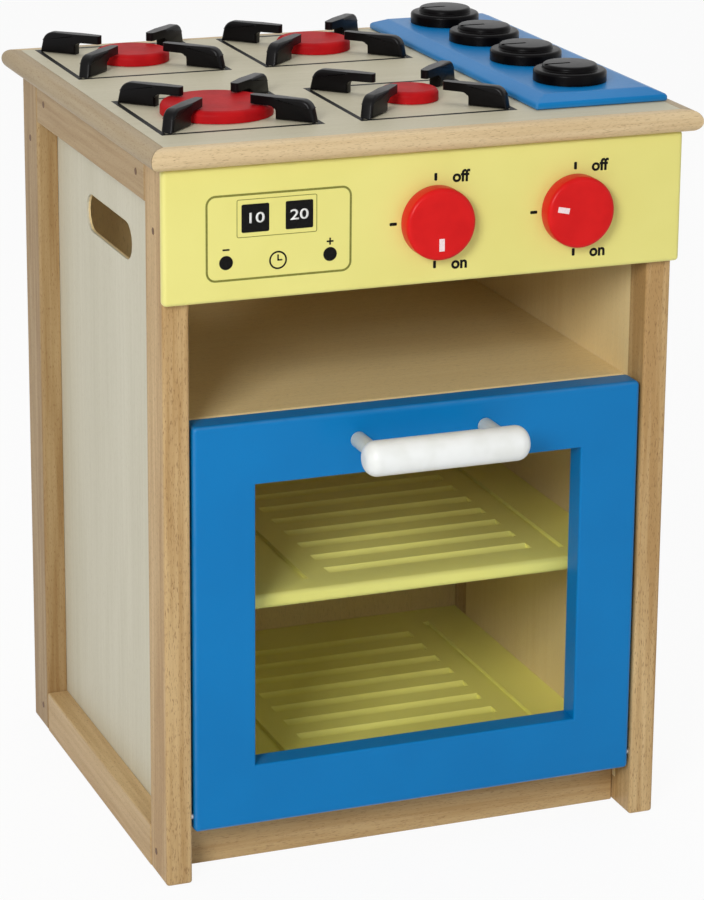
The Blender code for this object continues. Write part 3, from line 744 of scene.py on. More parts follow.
    @staticmethod
    def smooth(piece: bpy.types.Object, degrees: float = 32.0) -> bpy.types.Object:
        """Shade a piece smooth except over its sharp edges, and return it.

        Args:
            piece: The piece.
            degrees: The angle from which an edge stays sharp.

        Returns:
            The same piece.
        """
        Bench.hold(piece)
        bpy.ops.object.shade_smooth_by_angle(angle=math.radians(degrees))
        return piece

    @staticmethod
    def frame_caps(piece: bpy.types.Object, axis: Axis, width: float) -> bpy.types.Object:
        """Inset the two flat ends of a turned piece, so that they shade flat, and return it.

        Args:
            piece: The piece.
            axis: The axis that it was turned on.
            width: The inset's width.

        Returns:
            The same piece.
        """
        def flat(middle: Vector, normal: Vector) -> bool:
            """Return whether a face looks along the axis."""
            return abs(normal[axis.value]) > 0.9999

        if Bench.pick_faces(piece, flat):
            bpy.ops.mesh.inset(thickness=width, use_even_offset=True)
        Bench.clear()
        return piece

    @staticmethod
    def copy(
        piece: bpy.types.Object,
        name: str,
        turn: float,
        pivot: Corner,
        shift: Corner,
    ) -> bpy.types.Object:
        """Copy a piece with its own mesh, turned about Z at a pivot and then moved.

        Args:
            piece: The piece to copy.
            name: The copy's name.
            turn: The turn in radians.
            pivot: The point it turns about.
            shift: How far it moves after the turn.

        Returns:
            The copy.
        """
        made = piece.copy()
        made.data = piece.data.copy()
        made.name = name
        made.data.name = name
        bpy.context.scene.collection.objects.link(made)
        spin = Matrix.Rotation(turn, 4, "Z")
        there = Matrix.Translation(Vector(pivot) + Vector(shift))
        made.data.transform(there @ spin @ Matrix.Translation(-Vector(pivot)))
        return made


def dress(piece: bpy.types.Object, surface: bpy.types.Material) -> bpy.types.Object:
    """Give a piece one material all over and return it.

    Args:
        piece: The piece.
        surface: Its material.

    Returns:
        The same piece.
    """
    piece.data.materials.clear()
    piece.data.materials.append(surface)
    for face in piece.data.polygons:
        face.material_index = 0
    return piece


def enter(piece: bpy.types.Object, body: str, slot: str, *nodes: str) -> bpy.types.Object:
    """Make a finished piece ride on a body.

    Args:
        piece: The piece, settled and dressed.
        body: The body that it moves with.
        slot: A material slot's name; not used.
        nodes: The CAD nodes that it stands for.

    Returns:
        The piece.
    """
    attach(piece, body)
    if nodes:
        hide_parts(*nodes)
    LOG.info("%s rides on %s and stands for %s", piece.name, body, list(nodes) or "no node")
    return piece


def finish_node(node: str, surface: bpy.types.Material) -> None:
    """Give a CAD node that stays a better material.

    Args:
        node: The node's name.
        surface: Its material.
    """
    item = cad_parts[node]
    if not item.data.materials:
        item.data.materials.append(surface)
    for index in range(len(item.material_slots)):
        item.material_slots[index].material = surface
    LOG.info("%s keeps its CAD shape", node)


@dataclass
class Palette:
    """The finishes that several pieces share."""

    beech_light: Colour = srgb(209, 179, 130)
    beech_dark: Colour = srgb(174, 138, 88)
    beech_fleck: Colour = srgb(120, 82, 44)
    edge_light: Colour = srgb(226, 202, 160)
    edge_dark: Colour = srgb(200, 172, 128)
    ply_light: Colour = srgb(216, 211, 190)
    ply_dark: Colour = srgb(196, 190, 166)
    ply_fleck: Colour = srgb(165, 152, 120)
    top_light: Colour = srgb(206, 199, 174)
    top_dark: Colour = srgb(190, 183, 156)
    # Warmer, lighter inside tones: painted bounce light on the inner faces.
    inner_light: Colour = srgb(242, 218, 164)
    inner_dark: Colour = srgb(230, 200, 138)
    yellow: Colour = srgb(233, 226, 135)
    yellow_shade: Colour = srgb(226, 218, 124)
    oven_yellow: Colour = srgb(247, 243, 138)
    oven_yellow_shade: Colour = srgb(242, 237, 128)
    blue: Colour = srgb(0, 121, 188)
    blue_shade: Colour = srgb(0, 114, 180)
    red: Colour = srgb(218, 22, 22)
    red_shade: Colour = srgb(208, 16, 18)
    ring: Colour = srgb(188, 24, 28)
    ring_shade: Colour = srgb(172, 18, 24)
    black: Colour = srgb(8, 6, 7)
    black_shade: Colour = srgb(5, 4, 5)
    white: Colour = srgb(244, 246, 244)
    white_shade: Colour = srgb(236, 238, 234)

    def beech(
        self,
        grain: Axis,
        name: str,
        weight: Weight = Weight.PLAIN,
        share: float = 1.0,
    ) -> bpy.types.Material:
        """Return lacquered beech, darker for a share below 1.

        Args:
            grain: The axis that the grain follows.
            name: The material's name.
            weight: How strongly the figure shows.
            share: How much of the tone is left.

        Returns:
            The material.
        """
        light = tuple(value * share for value in self.beech_light)
        dark = tuple(value * share for value in self.beech_dark)
        return Timber(name, light, dark, self.beech_fleck, grain, weight).material()

    def edging(self, grain: Axis, name: str, share: float) -> bpy.types.Material:
        """Return the paler beech of the hob's nosing, darker for a share below 1.

        Args:
            grain: The axis that the grain follows.
            name: The material's name.
            share: How much of the tone is left.

        Returns:
            The material.
        """
        light = tuple(value * share for value in self.edge_light)
        dark = tuple(value * share for value in self.edge_dark)
        return Timber(name, light, dark, self.beech_fleck, grain).material()

    def ply(self, grain: Axis, name: str, split: float) -> bpy.types.Material:
        """Return plywood that is pale outside a distance from the middle and warmer and lighter inside
        it, with painted bounce light there.

        Args:
            grain: The axis that the grain follows.
            name: The material's name.
            split: The distance from the middle, in metres.

        Returns:
            The material.
        """
        return Timber(
            name,
            self.ply_light,
            self.ply_dark,
            self.ply_fleck,
            grain,
            Weight.QUIET,
            0.55,
            (self.inner_light, self.inner_dark, split),
        ).material()

    def top_veneer(self, grain: Axis, name: str) -> bpy.types.Material:
        """Return the hob board's darker veneer.

        Args:
            grain: The axis that the grain follows.
            name: The material's name.

        Returns:
            The material.
        """
        return Timber(
            name,
            self.top_light,
            self.top_dark,
            self.ply_fleck,
            grain,
            Weight.QUIET,
            0.55,
        ).material()

    def inner_ply(self, grain: Axis, name: str) -> bpy.types.Material:
        """Return the inside plywood, warmer and lighter with painted bounce light.

        Args:
            grain: The axis that the grain follows.
            name: The material's name.

        Returns:
            The material.
        """
        return Timber(
            name,
            self.inner_light,
            self.inner_dark,
            self.beech_fleck,
            grain,
            Weight.QUIET,
            0.5,
        ).material()

    def painted(
        self,
        name: str,
        first: Colour,
        second: Colour,
        low: Corner,
        high: Corner,
    ) -> bpy.types.Material:
        """Return paint that is paler along the edges of a box: a little worn, with a painted highlight
        there.

        Args:
            name: The material's name.
            first: The paint's main tone.
            second: Its deeper tone.
            low: The box's lowest corner.
            high: The box's highest corner.

        Returns:
            The material.
        """
        # The paler edge colour stands for wear and for a painted highlight.
        worn = tuple(min(1.0, value * 0.8 + 0.16) for value in first)
        return Paint(name, first, second, worn, low, high).material()


@dataclass
class Cabinet:
    """The beech frame with its thin panels, and the boards inside it."""

    palette: Palette
    post_rounding: float = 2.2 * MM
    floor_rounding: float = 3.0 * MM
    shelf_rounding: float = 4.0 * MM
    fit: float = 0.3 * MM
    plug_radius: float = 2.6 * MM
    plug_height: float = 0.25 * MM
    groove_width: float = 12.0 * MM
    groove_depth: float = 3.0 * MM
    groove_ends: Tuple[float, float] = (-47.5 * MM, 112.0 * MM)
    groove_start: float = 33.2 * MM
    groove_pitch: float = 28.4 * MM
    groove_count: int = 9
    groove_sides: int = 128
    border_margin: float = 21.0 * MM
    border_half_width: float = 2.75 * MM
    border_start: float = 22.0 * MM
    screw_rail_reach: float = 38.0 * MM
    screw_rail_drop: float = 15.0 * MM
    screw_post_drop: float = 48.0 * MM
    screw_foot_shift: float = 6.0 * MM
    screw_foot_height: float = 17.0 * MM
    screw_rounding: float = 0.15 * MM
    body: str = "cabinet"

    def grown(self, node: str) -> bpy.types.Object:
        """Return a cutter that is a node's box with the fit all round it.

        Args:
            node: The node's name.

        Returns:
            The cutter.
        """
        low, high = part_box(node)
        gap = Vector((self.fit, self.fit, self.fit))
        return Bench.block("cutter", low - gap, high + gap)

    def posts(self) -> None:
        """Build the four posts, rebated for the panels and rounded on their long edges."""
        surfaces = {
            "front_left": self.palette.beech(Axis.Z, "beech_front_upright", Weight.STRONG),
            "front_right": self.palette.beech(Axis.Z, "beech_far_upright", Weight.STRONG, 1.05),
            "rear_left": self.palette.beech(Axis.Z, "beech_rear_upright", Weight.STRONG, 0.74),
            "rear_right": self.palette.beech(Axis.Z, "beech_back_upright", Weight.STRONG, 1.15),
        }
        for end in ("front", "rear"):
            for side in ("left", "right"):
                node = "post_" + end + "_" + side
                low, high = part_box(node)
                piece = Bench.block("dressed_" + node, low, high)
                cutters = [self.grown("side_panel_" + side)]
                if end == "rear":
                    cutters.append(self.grown("back_panel"))
                Bench.cut(piece, cutters)
                Bench.bevel(piece, self.post_rounding, 4, Bench.box_edges(low, high))
                enter(dress(piece, surfaces[end + "_" + side]), self.body, "beech", node)

    def rails(self) -> None:
        """Finish the rails between the posts, which keep their CAD shape."""
        rails = {
            "top": self.palette.beech(Axis.Y, "beech_top_rail", Weight.PLAIN, 0.74),
            "bottom": self.palette.beech(Axis.Y, "beech_bottom_rail", Weight.PLAIN, 0.95),
        }
        across = self.palette.beech(Axis.X, "beech_cross_rail")
        for side in ("left", "right"):
            for level in ("top", "bottom"):
                finish_node("side_rail_" + level + "_" + side, rails[level])
        for node in ("front_bottom_rail", "rear_bottom_rail", "rear_top_rail", "shelf_rear_batten"):
            finish_node(node, across)

    def panels(self) -> None:
        """Finish the thin side panels and the back."""
        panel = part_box("side_panel_right")
        sides = self.palette.ply(Axis.Z, "side_panel_ply", (panel[0].x + panel[1].x) / 2)
        for side in ("left", "right"):
            finish_node("side_panel_" + side, sides)
        finish_node("back_panel", self.palette.inner_ply(Axis.Z, "back_panel_ply"))

    def compartment_floor(self) -> None:
        """Build the open compartment's floor with its rounded front edge."""
        node = "compartment_floor"
        low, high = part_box(node)
        piece = Bench.block("dressed_" + node, low, high)

        def front_long(first: Vector, second: Vector) -> bool:
            """Return whether an edge runs along the front."""
            ahead = max(first.y, second.y) < low.y + self.fit
            return ahead and abs(first.x - second.x) > self.floor_rounding

        Bench.bevel(piece, self.floor_rounding, 6, front_long)
        surface = self.palette.inner_ply(Axis.X, "compartment_ply")
        enter(dress(piece, surface), self.body, "pale_ply", node)

    def rack(self, node: str, first: float) -> None:
        """Build one grooved oven board.

        Args:
            node: The board's node.
            first: The first groove's middle in Y.
        """
        left, right = self.groove_ends
        pitch, count = self.groove_pitch, self.groove_count
        low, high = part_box(node)
        piece = Bench.block("dressed_" + node, low, high)
        half = self.groove_width / 2
        radius = (half * half + self.groove_depth**2) / (2 * self.groove_depth)
        level = high.z - self.groove_depth + radius
        cutters = []
        for index in range(count):
            centre = ((left + right) / 2, first + pitch * index, level)
            cutters.append(Bench.drum("cutter", centre, radius, right - left, Axis.X, self.groove_sides))
        margin = self.border_margin
        width = self.border_half_width
        for edge in (left - margin, right + margin):
            start = (edge - width, low.y + self.border_start, high.z - self.groove_depth)
            end = (edge + width, first + pitch * (count - 1) + margin, high.z + width)
            cutters.append(Bench.block("cutter", start, end))
        Bench.cut(piece, [Bench.join(cutters)])

        def front_long(one: Vector, two: Vector) -> bool:
            """Return whether an edge runs along the front."""
            return max(one.y, two.y) < low.y + self.fit and abs(one.x - two.x) > self.groove_width

        Bench.bevel(piece, self.shelf_rounding, 5, front_long)
        Bench.smooth(piece, 30)
        surface = self.palette.painted(
            node + "_paint",
            self.palette.oven_yellow,
            self.palette.oven_yellow_shade,
            low,
            high,
        )
        enter(dress(piece, surface), self.body, "yellow_paint", node)

    def plugs(self) -> None:
        """Set small dark screw heads in the posts' sides."""
        surface = Ink("screw_head", srgb(112, 78, 48), srgb(84, 56, 34), 0.4).material()
        for side, sign in (("left", -1), ("right", 1)):
            for end in ("front", "rear"):
                low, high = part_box("post_" + end + "_" + side)
                face = low.x if sign < 0 else high.x
                inward = 1 if end == "front" else -1
                rail = (low.y + high.y) / 2 + inward * self.screw_rail_reach
                middle = (low.y + high.y) / 2
                places = (
                    ("high", middle, high.z - self.screw_post_drop),
                    ("low", middle + inward * self.screw_foot_shift, self.screw_foot_height),
                    ("rail", rail, high.z - self.screw_rail_drop),
                )
                for label, depth, height in places:
                    centre = (face - sign * self.plug_height, depth, height)
                    name = "screw_" + side + "_" + end + "_" + label
                    piece = Bench.drum(name, centre, self.plug_radius, 3 * self.plug_height, Axis.X, 24)
                    Bench.bevel_all(piece, self.screw_rounding, 1)
                    enter(dress(piece, surface), self.body, "beech")

    def build(self) -> None:
        """Build the whole cabinet."""
        self.posts()
        self.rails()
        self.panels()
        self.compartment_floor()
        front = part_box("oven_shelf")[0].y + self.groove_start
        for node in ("oven_floor", "oven_shelf"):
            self.rack(node, front)
        self.plugs()


@dataclass
class HobTop:
    """The hob board, its mitred nosing and the printed squares."""

    palette: Palette
    nosing_rounding: float = 7.3 * MM
    square: float = 117.0 * MM
    line: float = 3.8 * MM
    ink_height: float = 0.08 * MM
    body: str = "cabinet"

    def nosing(self, node: str, along: Axis) -> None:
        """Build one mitred strip with a half-round outer edge.

        Args:
            node: The strip's node.
            along: The axis that it lies along.
        """
        low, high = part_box(node)
        across = Axis.Y if along is Axis.X else Axis.X
        middle = (low[across.value] + high[across.value]) / 2
        outward = 1.0 if middle > 0 else -1.0
        width = high[across.value] - low[across.value]
        centre = (low[along.value] + high[along.value]) / 2
        piece = Bench.block("dressed_" + node, low, high)
        for vert in piece.data.vertices:
            if (vert.co[across.value] - middle) * outward < 0:
                end = low[along.value] if vert.co[along.value] < centre else high[along.value]
                vert.co[along.value] = end + (width if end == low[along.value] else -width)

        def outer(first: Vector, second: Vector) -> bool:
            """Return whether an edge runs along the outer side."""
            away = min(point[across.value] * outward for point in (first, second))
            return away > middle * outward and abs(first[along.value] - second[along.value]) > width

        Bench.bevel(piece, self.nosing_rounding, 10, outer)
        Bench.smooth(piece, 20)
        surface = self.palette.edging(along, "beech_" + node, 0.58 if along is Axis.Y else 1.0)
        enter(dress(piece, surface), self.body, "beech", node)

    def print_square(self, name: str, centre: Point, surface: bpy.types.Material) -> None:
        """Print one square outline on the board.

        Args:
            name: The print's name.
            centre: Its middle on the board.
            surface: The ink.
        """
        Bench.clear()
        bpy.ops.mesh.primitive_plane_add(size=self.square, location=centre)
        piece = bpy.context.object
        piece.name = name
        Bench.settle(piece)
        Bench.pick_faces(piece, lambda middle, normal: True)
        bpy.ops.mesh.inset(thickness=self.line)
        bpy.ops.mesh.delete(type="FACE")
        Bench.clear()
        Stencil.thicken(piece, self.ink_height)
        enter(dress(piece, surface), self.body, "black_paint")

    def build(self) -> None:
        """Build the top."""
        for node in ("nosing_front", "nosing_rear"):
            self.nosing(node, Axis.X)
        for node in ("nosing_left", "nosing_right"):
            self.nosing(node, Axis.Y)
        finish_node("hob_board", self.palette.top_veneer(Axis.X, "hob_board_veneer"))
        ink = Ink("hob_ink", srgb(12, 12, 12), srgb(26, 25, 24)).material()
        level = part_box("hob_board")[1].z
        for label in ("fl", "rl", "fr", "rr"):
            low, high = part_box("hob_ring_" + label)
            centre = ((low.x + high.x) / 2, (low.y + high.y) / 2, level)
            self.print_square("printed_square_" + label, centre, ink)


class Stencil:
    """Thin printed shapes on a face."""

    @staticmethod
    def thicken(piece: bpy.types.Object, height: float) -> None:
        """Give a flat shape a small thickness along its normals.

        Args:
            piece: The shape.
            height: The thickness.
        """
        Bench.hold(piece)
        change = piece.modifiers.new("ink", "SOLIDIFY")
        change.thickness = height
        change.offset = 1.0
        bpy.ops.object.modifier_apply(modifier=change.name)

    @staticmethod
    def plate(
        name: str,
        size: Tuple[float, float],
        corner: float,
        line: Optional[float] = None,
    ) -> bpy.types.Object:
        """Make a flat plate with round corners, or only its outline.

        Args:
            name: The plate's name.
            size: Its width and height.
            corner: Its corner radius.
            line: The outline's width, or nothing for a full plate.

        Returns:
            The plate, lying flat at the origin.
        """
        Bench.clear()
        bpy.ops.mesh.primitive_plane_add(size=1)
        piece = bpy.context.object
        piece.name = name
        piece.scale = (size[0], size[1], 1)
        Bench.settle(piece)
        Bench.pick_edges(piece, lambda first, second: True)
        bpy.ops.mesh.bevel(offset=corner, segments=8, affect="VERTICES")
        Bench.clear()
        if line is not None:
            Bench.pick_faces(piece, lambda middle, normal: True)
            bpy.ops.mesh.inset(thickness=line)
            bpy.ops.mesh.delete(type="FACE")
            Bench.clear()
        return piece

    @staticmethod
    def disc(name: str, radius: float, line: Optional[float] = None) -> bpy.types.Object:
        """Make a flat disc, or only its rim.

        Args:
            name: The disc's name.
            radius: Its radius.
            line: The rim's width, or nothing for a full disc.

        Returns:
            The disc, lying flat at the origin.
        """
        Bench.clear()
        bpy.ops.mesh.primitive_circle_add(vertices=48, radius=radius, fill_type="NGON")
        piece = bpy.context.object
        piece.name = name
        if line is not None:
            Bench.pick_faces(piece, lambda middle, normal: True)
            bpy.ops.mesh.inset(thickness=line)
            bpy.ops.mesh.delete(type="FACE")
            Bench.clear()
        return piece

    @staticmethod
    def words(name: str, text: str, height: float, bolder: float) -> bpy.types.Object:
        """Make a short generic label as a flat mesh, centred at the origin.

        Args:
            name: The label's name.
            text: What it says.
            height: Its letters' size.
            bolder: How far their outlines grow.

        Returns:
            The label.
        """
        Bench.clear()
        bpy.ops.object.text_add()
        piece = bpy.context.object
        piece.name = name
        piece.data.body = text
        piece.data.size = height
        piece.data.offset = bolder
        piece.data.align_x = "CENTER"
        piece.data.align_y = "CENTER"
        piece.data.resolution_u = 4
        Bench.hold(piece)
        bpy.ops.object.convert(target="MESH")
        return bpy.context.object

    @staticmethod
    def post_up(piece: bpy.types.Object, place: Corner, height: float) -> bpy.types.Object:
        """Stand a flat shape on a front face.

        Args:
            piece: The shape, flat at the origin.
            place: The point on the face that it is centred on.
            height: The ink's thickness.

        Returns:
            The shape, settled.
        """
        Stencil.thicken(piece, height)
        piece.rotation_euler = (math.pi / 2, 0, 0)
        piece.location = place
        Bench.settle(piece)
        Bench.pick_faces(piece, lambda middle, normal: True)
        bpy.ops.mesh.normals_make_consistent(inside=False)
        Bench.clear()
        return piece


@dataclass
class Burners:
    """The red rings and the black pan supports around them."""

    palette: Palette
    ring_rounding: float = 4.0 * MM
    tip_radius: float = 26.5 * MM
    tongue: float = 20.0 * MM
    block: float = 29.5 * MM
    haunch: float = 4.0 * MM
    shoulder: float = 6.5 * MM
    height: float = 15.5 * MM
    tongue_thickness: float = 6.2 * MM
    lean: float = 3.6 * MM
    width: float = 9.0 * MM
    tip_width: float = 6.0 * MM
    rounding: float = 2.0 * MM
    body: str = "cabinet"

    def ring(self, label: str, surface: bpy.types.Material) -> Point:
        """Build one ring and return its centre at the bottom.

        Args:
            label: Which ring.
            surface: Its material.

        Returns:
            Its centre.
        """
        node = "hob_ring_" + label
        low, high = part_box(node)
        centre = ((low.x + high.x) / 2, (low.y + high.y) / 2, (low.z + high.z) / 2)
        radius = (high.x - low.x) / 2
        piece = Bench.drum("dressed_" + node, centre, radius, high.z - low.z, Axis.Z, 96)

        def top_rim(first: Vector, second: Vector) -> bool:
            """Return whether an edge lies round the top."""
            return min(first.z, second.z) > high.z - self.rounding / 10

        Bench.bevel(piece, self.ring_rounding, 8, top_rim)
        Bench.frame_caps(piece, Axis.Z, 0.4 * MM)
        Bench.smooth(piece)
        enter(dress(piece, surface), self.body, "red_paint", node)
        return (centre[0], centre[1], low.z)

    def support(self, centre: Point) -> bpy.types.Object:
        """Model one support that points at a centre from +X.

        Args:
            centre: The ring's centre at the bottom.

        Returns:
            The support.
        """
        inner = self.tip_radius + self.tongue
        foot = inner + self.block
        half = self.width / 2
        low = (centre[0] + inner, centre[1] - half, centre[2])
        high = (centre[0] + foot, centre[1] + half, centre[2] + self.height)
        piece = Bench.block("support_master", low, high)
        under = centre[2] + self.height - self.tongue_thickness
        Bench.pick_faces(piece, lambda middle, normal: True)
        bpy.ops.mesh.bisect(plane_co=(0, 0, under), plane_no=(0, 0, 1))
        Bench.clear()

        def inner_upper(middle: Vector, normal: Vector) -> bool:
            """Return whether a face is the upper part of the inner end."""
            return normal.x < -0.9 and middle.z > under

        Bench.pick_faces(piece, inner_upper)
        bpy.ops.mesh.extrude_region_move(TRANSFORM_OT_translate={"value": (-self.tongue, 0, 0)})
        tip = (centre[0] + self.tip_radius, centre[1], under + self.tongue_thickness / 2)
        bpy.ops.transform.resize(value=(1, self.tip_width / self.width, 1), center_override=tip)
        Bench.clear()
        for vert in piece.data.vertices:
            if vert.co.x > high[0] - self.rounding / 10:
                rise = (vert.co.z - low[2]) / self.height
                vert.co.x -= self.lean * rise

        def corner(first: Vector, second: Vector) -> bool:
            """Return whether an edge isn't a seam on a flat side."""
            level = abs(first.z - under) < TOUCH and abs(second.z - under) < TOUCH
            near, far = sorted((first.x, second.x))
            return not (level and near > low[0] - TOUCH and far > low[0] + MM)

        def crook(first: Vector, second: Vector) -> bool:
            """Return whether an edge lies across the angle under the tongue."""
            level = abs(first.z - under) < TOUCH and abs(second.z - under) < TOUCH
            near, far = sorted((first.x, second.x))
            return level and far < low[0] + 2 * TOUCH and near > low[0] - 2 * TOUCH

        def shoulder(first: Vector, second: Vector) -> bool:
            """Return whether an edge lies across the outer top."""
            level = min(first.z, second.z) > high[2] - 2 * TOUCH
            return level and min(first.x, second.x) > high[0] - self.lean - 2 * TOUCH

        Bench.bevel(piece, self.haunch, 5, crook)
        Bench.bevel(piece, self.shoulder, 7, shoulder)

        def outer(first: Vector, second: Vector) -> bool:
            """Return whether an edge is sharp enough to be rubbed round."""
            span = second - first
            flat = abs(span.y) < TOUCH
            return flat and corner(first, second)

        Bench.bevel(piece, self.rounding, 4, outer)
        Bench.smooth(piece, 28)
        return piece

    def build(self) -> None:
        """Build the four rings and their sixteen supports."""
        tones = self.palette
        red = Enamel("ring_red", tones.ring, tones.ring_shade, 0.5, 0.0, 0.06).material()
        black = Enamel("support_black", tones.black, tones.black_shade, 0.34, 0.02, 0.13).material()
        corners = (("rear_right", 45), ("rear_left", 135), ("front_left", 225), ("front_right", 315))
        master = None
        base = (0.0, 0.0, 0.0)
        for label in ("fl", "rl", "fr", "rr"):
            centre = self.ring(label, red)
            if master is None:
                base = centre
                master = self.support(centre)
            shift = Vector(centre) - Vector(base)
            for name, angle in corners:
                node = "pan_support_" + label + "_" + name
                piece = Bench.copy(master, "dressed_" + node, math.radians(angle), base, shift)
                enter(dress(piece, black), self.body, "black_paint", node)
        if master is not None:
            bpy.data.objects.remove(master, do_unlink=True)


@dataclass
class HobControls:
    """The blue block on the hob with its four black knobs."""

    palette: Palette
    block_rounding: float = 1.4 * MM
    slope_width: float = 11.0 * MM
    slope_height: float = 4.5 * MM
    cap_radius: float = 20.0 * MM
    base_height: float = 8.6 * MM
    base_rounding: float = 2.2 * MM
    cap_rounding: float = 2.5 * MM
    mark_width: float = 3.0 * MM
    mark_depth: float = 0.8 * MM
    crease: float = 0.9 * MM
    spindle_radius: float = 3.5 * MM
    spindle_rounding: float = 0.4 * MM
    gap: float = 0.3 * MM

    def block(self) -> float:
        """Build the block and return its top's height.

        Returns:
            The height.
        """
        node = "hob_control_block"
        low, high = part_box(node)
        piece = Bench.block("dressed_" + node, low, (high.x, high.y, high.z - self.slope_height))
        Bench.pick_faces(piece, lambda place, normal: normal.z > 0.9)
        bpy.ops.mesh.extrude_region_move(TRANSFORM_OT_translate={"value": (0, 0, self.slope_height)})
        centre = ((low.x + high.x) / 2, (low.y + high.y) / 2, high.z)
        span = (high.x - low.x, high.y - low.y)
        shares = tuple(1.0 - 2 * self.slope_width / size for size in span)
        bpy.ops.transform.resize(value=(shares[0], shares[1], 1.0), center_override=centre)
        Bench.clear()
        Bench.bevel_all(piece, self.block_rounding, 5)
        Bench.smooth(piece, 20)
        surface = self.palette.painted(
            "hob_block_paint",
            self.palette.blue,
            self.palette.blue_shade,
            low,
            high,
        )
        enter(dress(piece, surface), "cabinet", "blue_paint", node)
        return high.z

    def knob(self, number: int, floor: float, surface: bpy.types.Material) -> None:
        """Build one knob from a drum by inset, extrude and bevel.

        Args:
            number: Which knob, from the front.
            floor: The height of the block's top.
            surface: The knob's material.
        """
        node = "hob_knob_" + str(number)
        low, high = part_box(node)
        centre = ((low.x + high.x) / 2, (low.y + high.y) / 2)
        radius = (high.x - low.x) / 2
        top = floor + self.base_height
        middle = (centre[0], centre[1], (floor + self.gap + top) / 2)
        piece = Bench.drum("dressed_" + node, middle, radius, top - floor - self.gap, Axis.Z, 96)
        Bench.pick_faces(piece, lambda place, normal: normal.z > 0.9)
        bpy.ops.mesh.inset(thickness=radius - self.cap_radius)
        bpy.ops.mesh.extrude_region_move(TRANSFORM_OT_translate={"value": (0, 0, high.z - top)})
        Bench.clear()

        def at(level: float, reach: float) -> Callable[[Vector, Vector], bool]:
            """Return a test for the edges round a rim at a level and radius."""
            def wanted(first: Vector, second: Vector) -> bool:
                """Return whether both ends lie on the rim."""
                for point in (first, second):
                    span = math.hypot(point.x - centre[0], point.y - centre[1])
                    if abs(point.z - level) > TOUCH or abs(span - reach) > TOUCH:
                        return False
                return True
            return wanted

        Bench.bevel(piece, self.cap_rounding, 7, at(high.z, self.cap_radius))
        Bench.bevel(piece, self.base_rounding, 6, at(top, radius))
        Bench.bevel(piece, self.crease, 4, at(top, self.cap_radius))
        half = self.mark_width / 2
        groove = Bench.block(
            "cutter",
            (centre[0] - radius, centre[1] - half, high.z - self.mark_depth),
            (centre[0], centre[1] + half, high.z + self.mark_width),
        )
        Bench.cut(piece, [groove])
        Bench.smooth(piece)
        body = node + "_body"
        enter(dress(piece, surface), body, "black_paint", node)
        spindle = Bench.drum(
            "spindle_" + node,
            (centre[0], centre[1], (low.z + floor + self.gap) / 2),
            self.spindle_radius,
            floor + self.gap - low.z,
            Axis.Z,
            32,
        )
        Bench.bevel_all(spindle, self.spindle_rounding, 2)
        Bench.smooth(spindle)
        enter(dress(spindle, surface), body, "black_paint")

    def build(self) -> None:
        """Build the block and the knobs."""
        floor = self.block()
        black = Enamel(
            "hob_knob_black",
            self.palette.black,
            self.palette.black_shade,
            0.3,
            0.01,
            0.06,
            0.015 * MM,
        ).material()
        for number in (1, 2, 3, 4):
            self.knob(number, floor, black)


@dataclass(frozen=True)
class TimerPlan:
    """The timer's prints: their sizes, and their places from the left post's side and the ground."""

    outline: Tuple[float, float] = (104.6 * MM, 60.0 * MM)
    outline_place: Tuple[float, float] = (80.3 * MM, 472.0 * MM)
    outline_corner: float = 7.0 * MM
    outline_line: float = 1.5 * MM
    window: Tuple[float, float] = (57.5 * MM, 26.5 * MM)
    window_place: Tuple[float, float] = (78.75 * MM, 484.75 * MM)
    window_corner: float = 1.5 * MM
    window_line: float = 0.5 * MM
    square: Tuple[float, float] = (19.8 * MM, 19.6 * MM)
    square_corner: float = 1.2 * MM
    square_height: float = 484.6 * MM
    numbers: Tuple[Tuple[str, float], ...] = (("10", 63.3 * MM), ("20", 94.8 * MM))
    number_size: float = 10.2 * MM
    number_bolder: float = 0.12 * MM
    number_spread: float = 1.35
    number_height: float = 484.4 * MM
    buttons: Tuple[Tuple[str, float], ...] = (("minus", 42.4 * MM), ("plus", 117.0 * MM))
    button_radius: float = 4.9 * MM
    button_height: float = 455.0 * MM
    sign: Tuple[float, float] = (5.0 * MM, 1.2 * MM)
    sign_height: float = 464.0 * MM
    sign_corner: float = 0.3 * MM
    clock_place: Tuple[float, float] = (79.5 * MM, 454.0 * MM)
    clock_radius: float = 6.4 * MM
    clock_line: float = 1.2 * MM
    hands: Tuple[Tuple[str, Tuple[float, float], float, float], ...] = (
        ("clock_minute", (1.1 * MM, 4.4 * MM), 0.0, 1.7 * MM),
        ("clock_hour", (3.4 * MM, 1.1 * MM), 1.4 * MM, 0.0),
    )


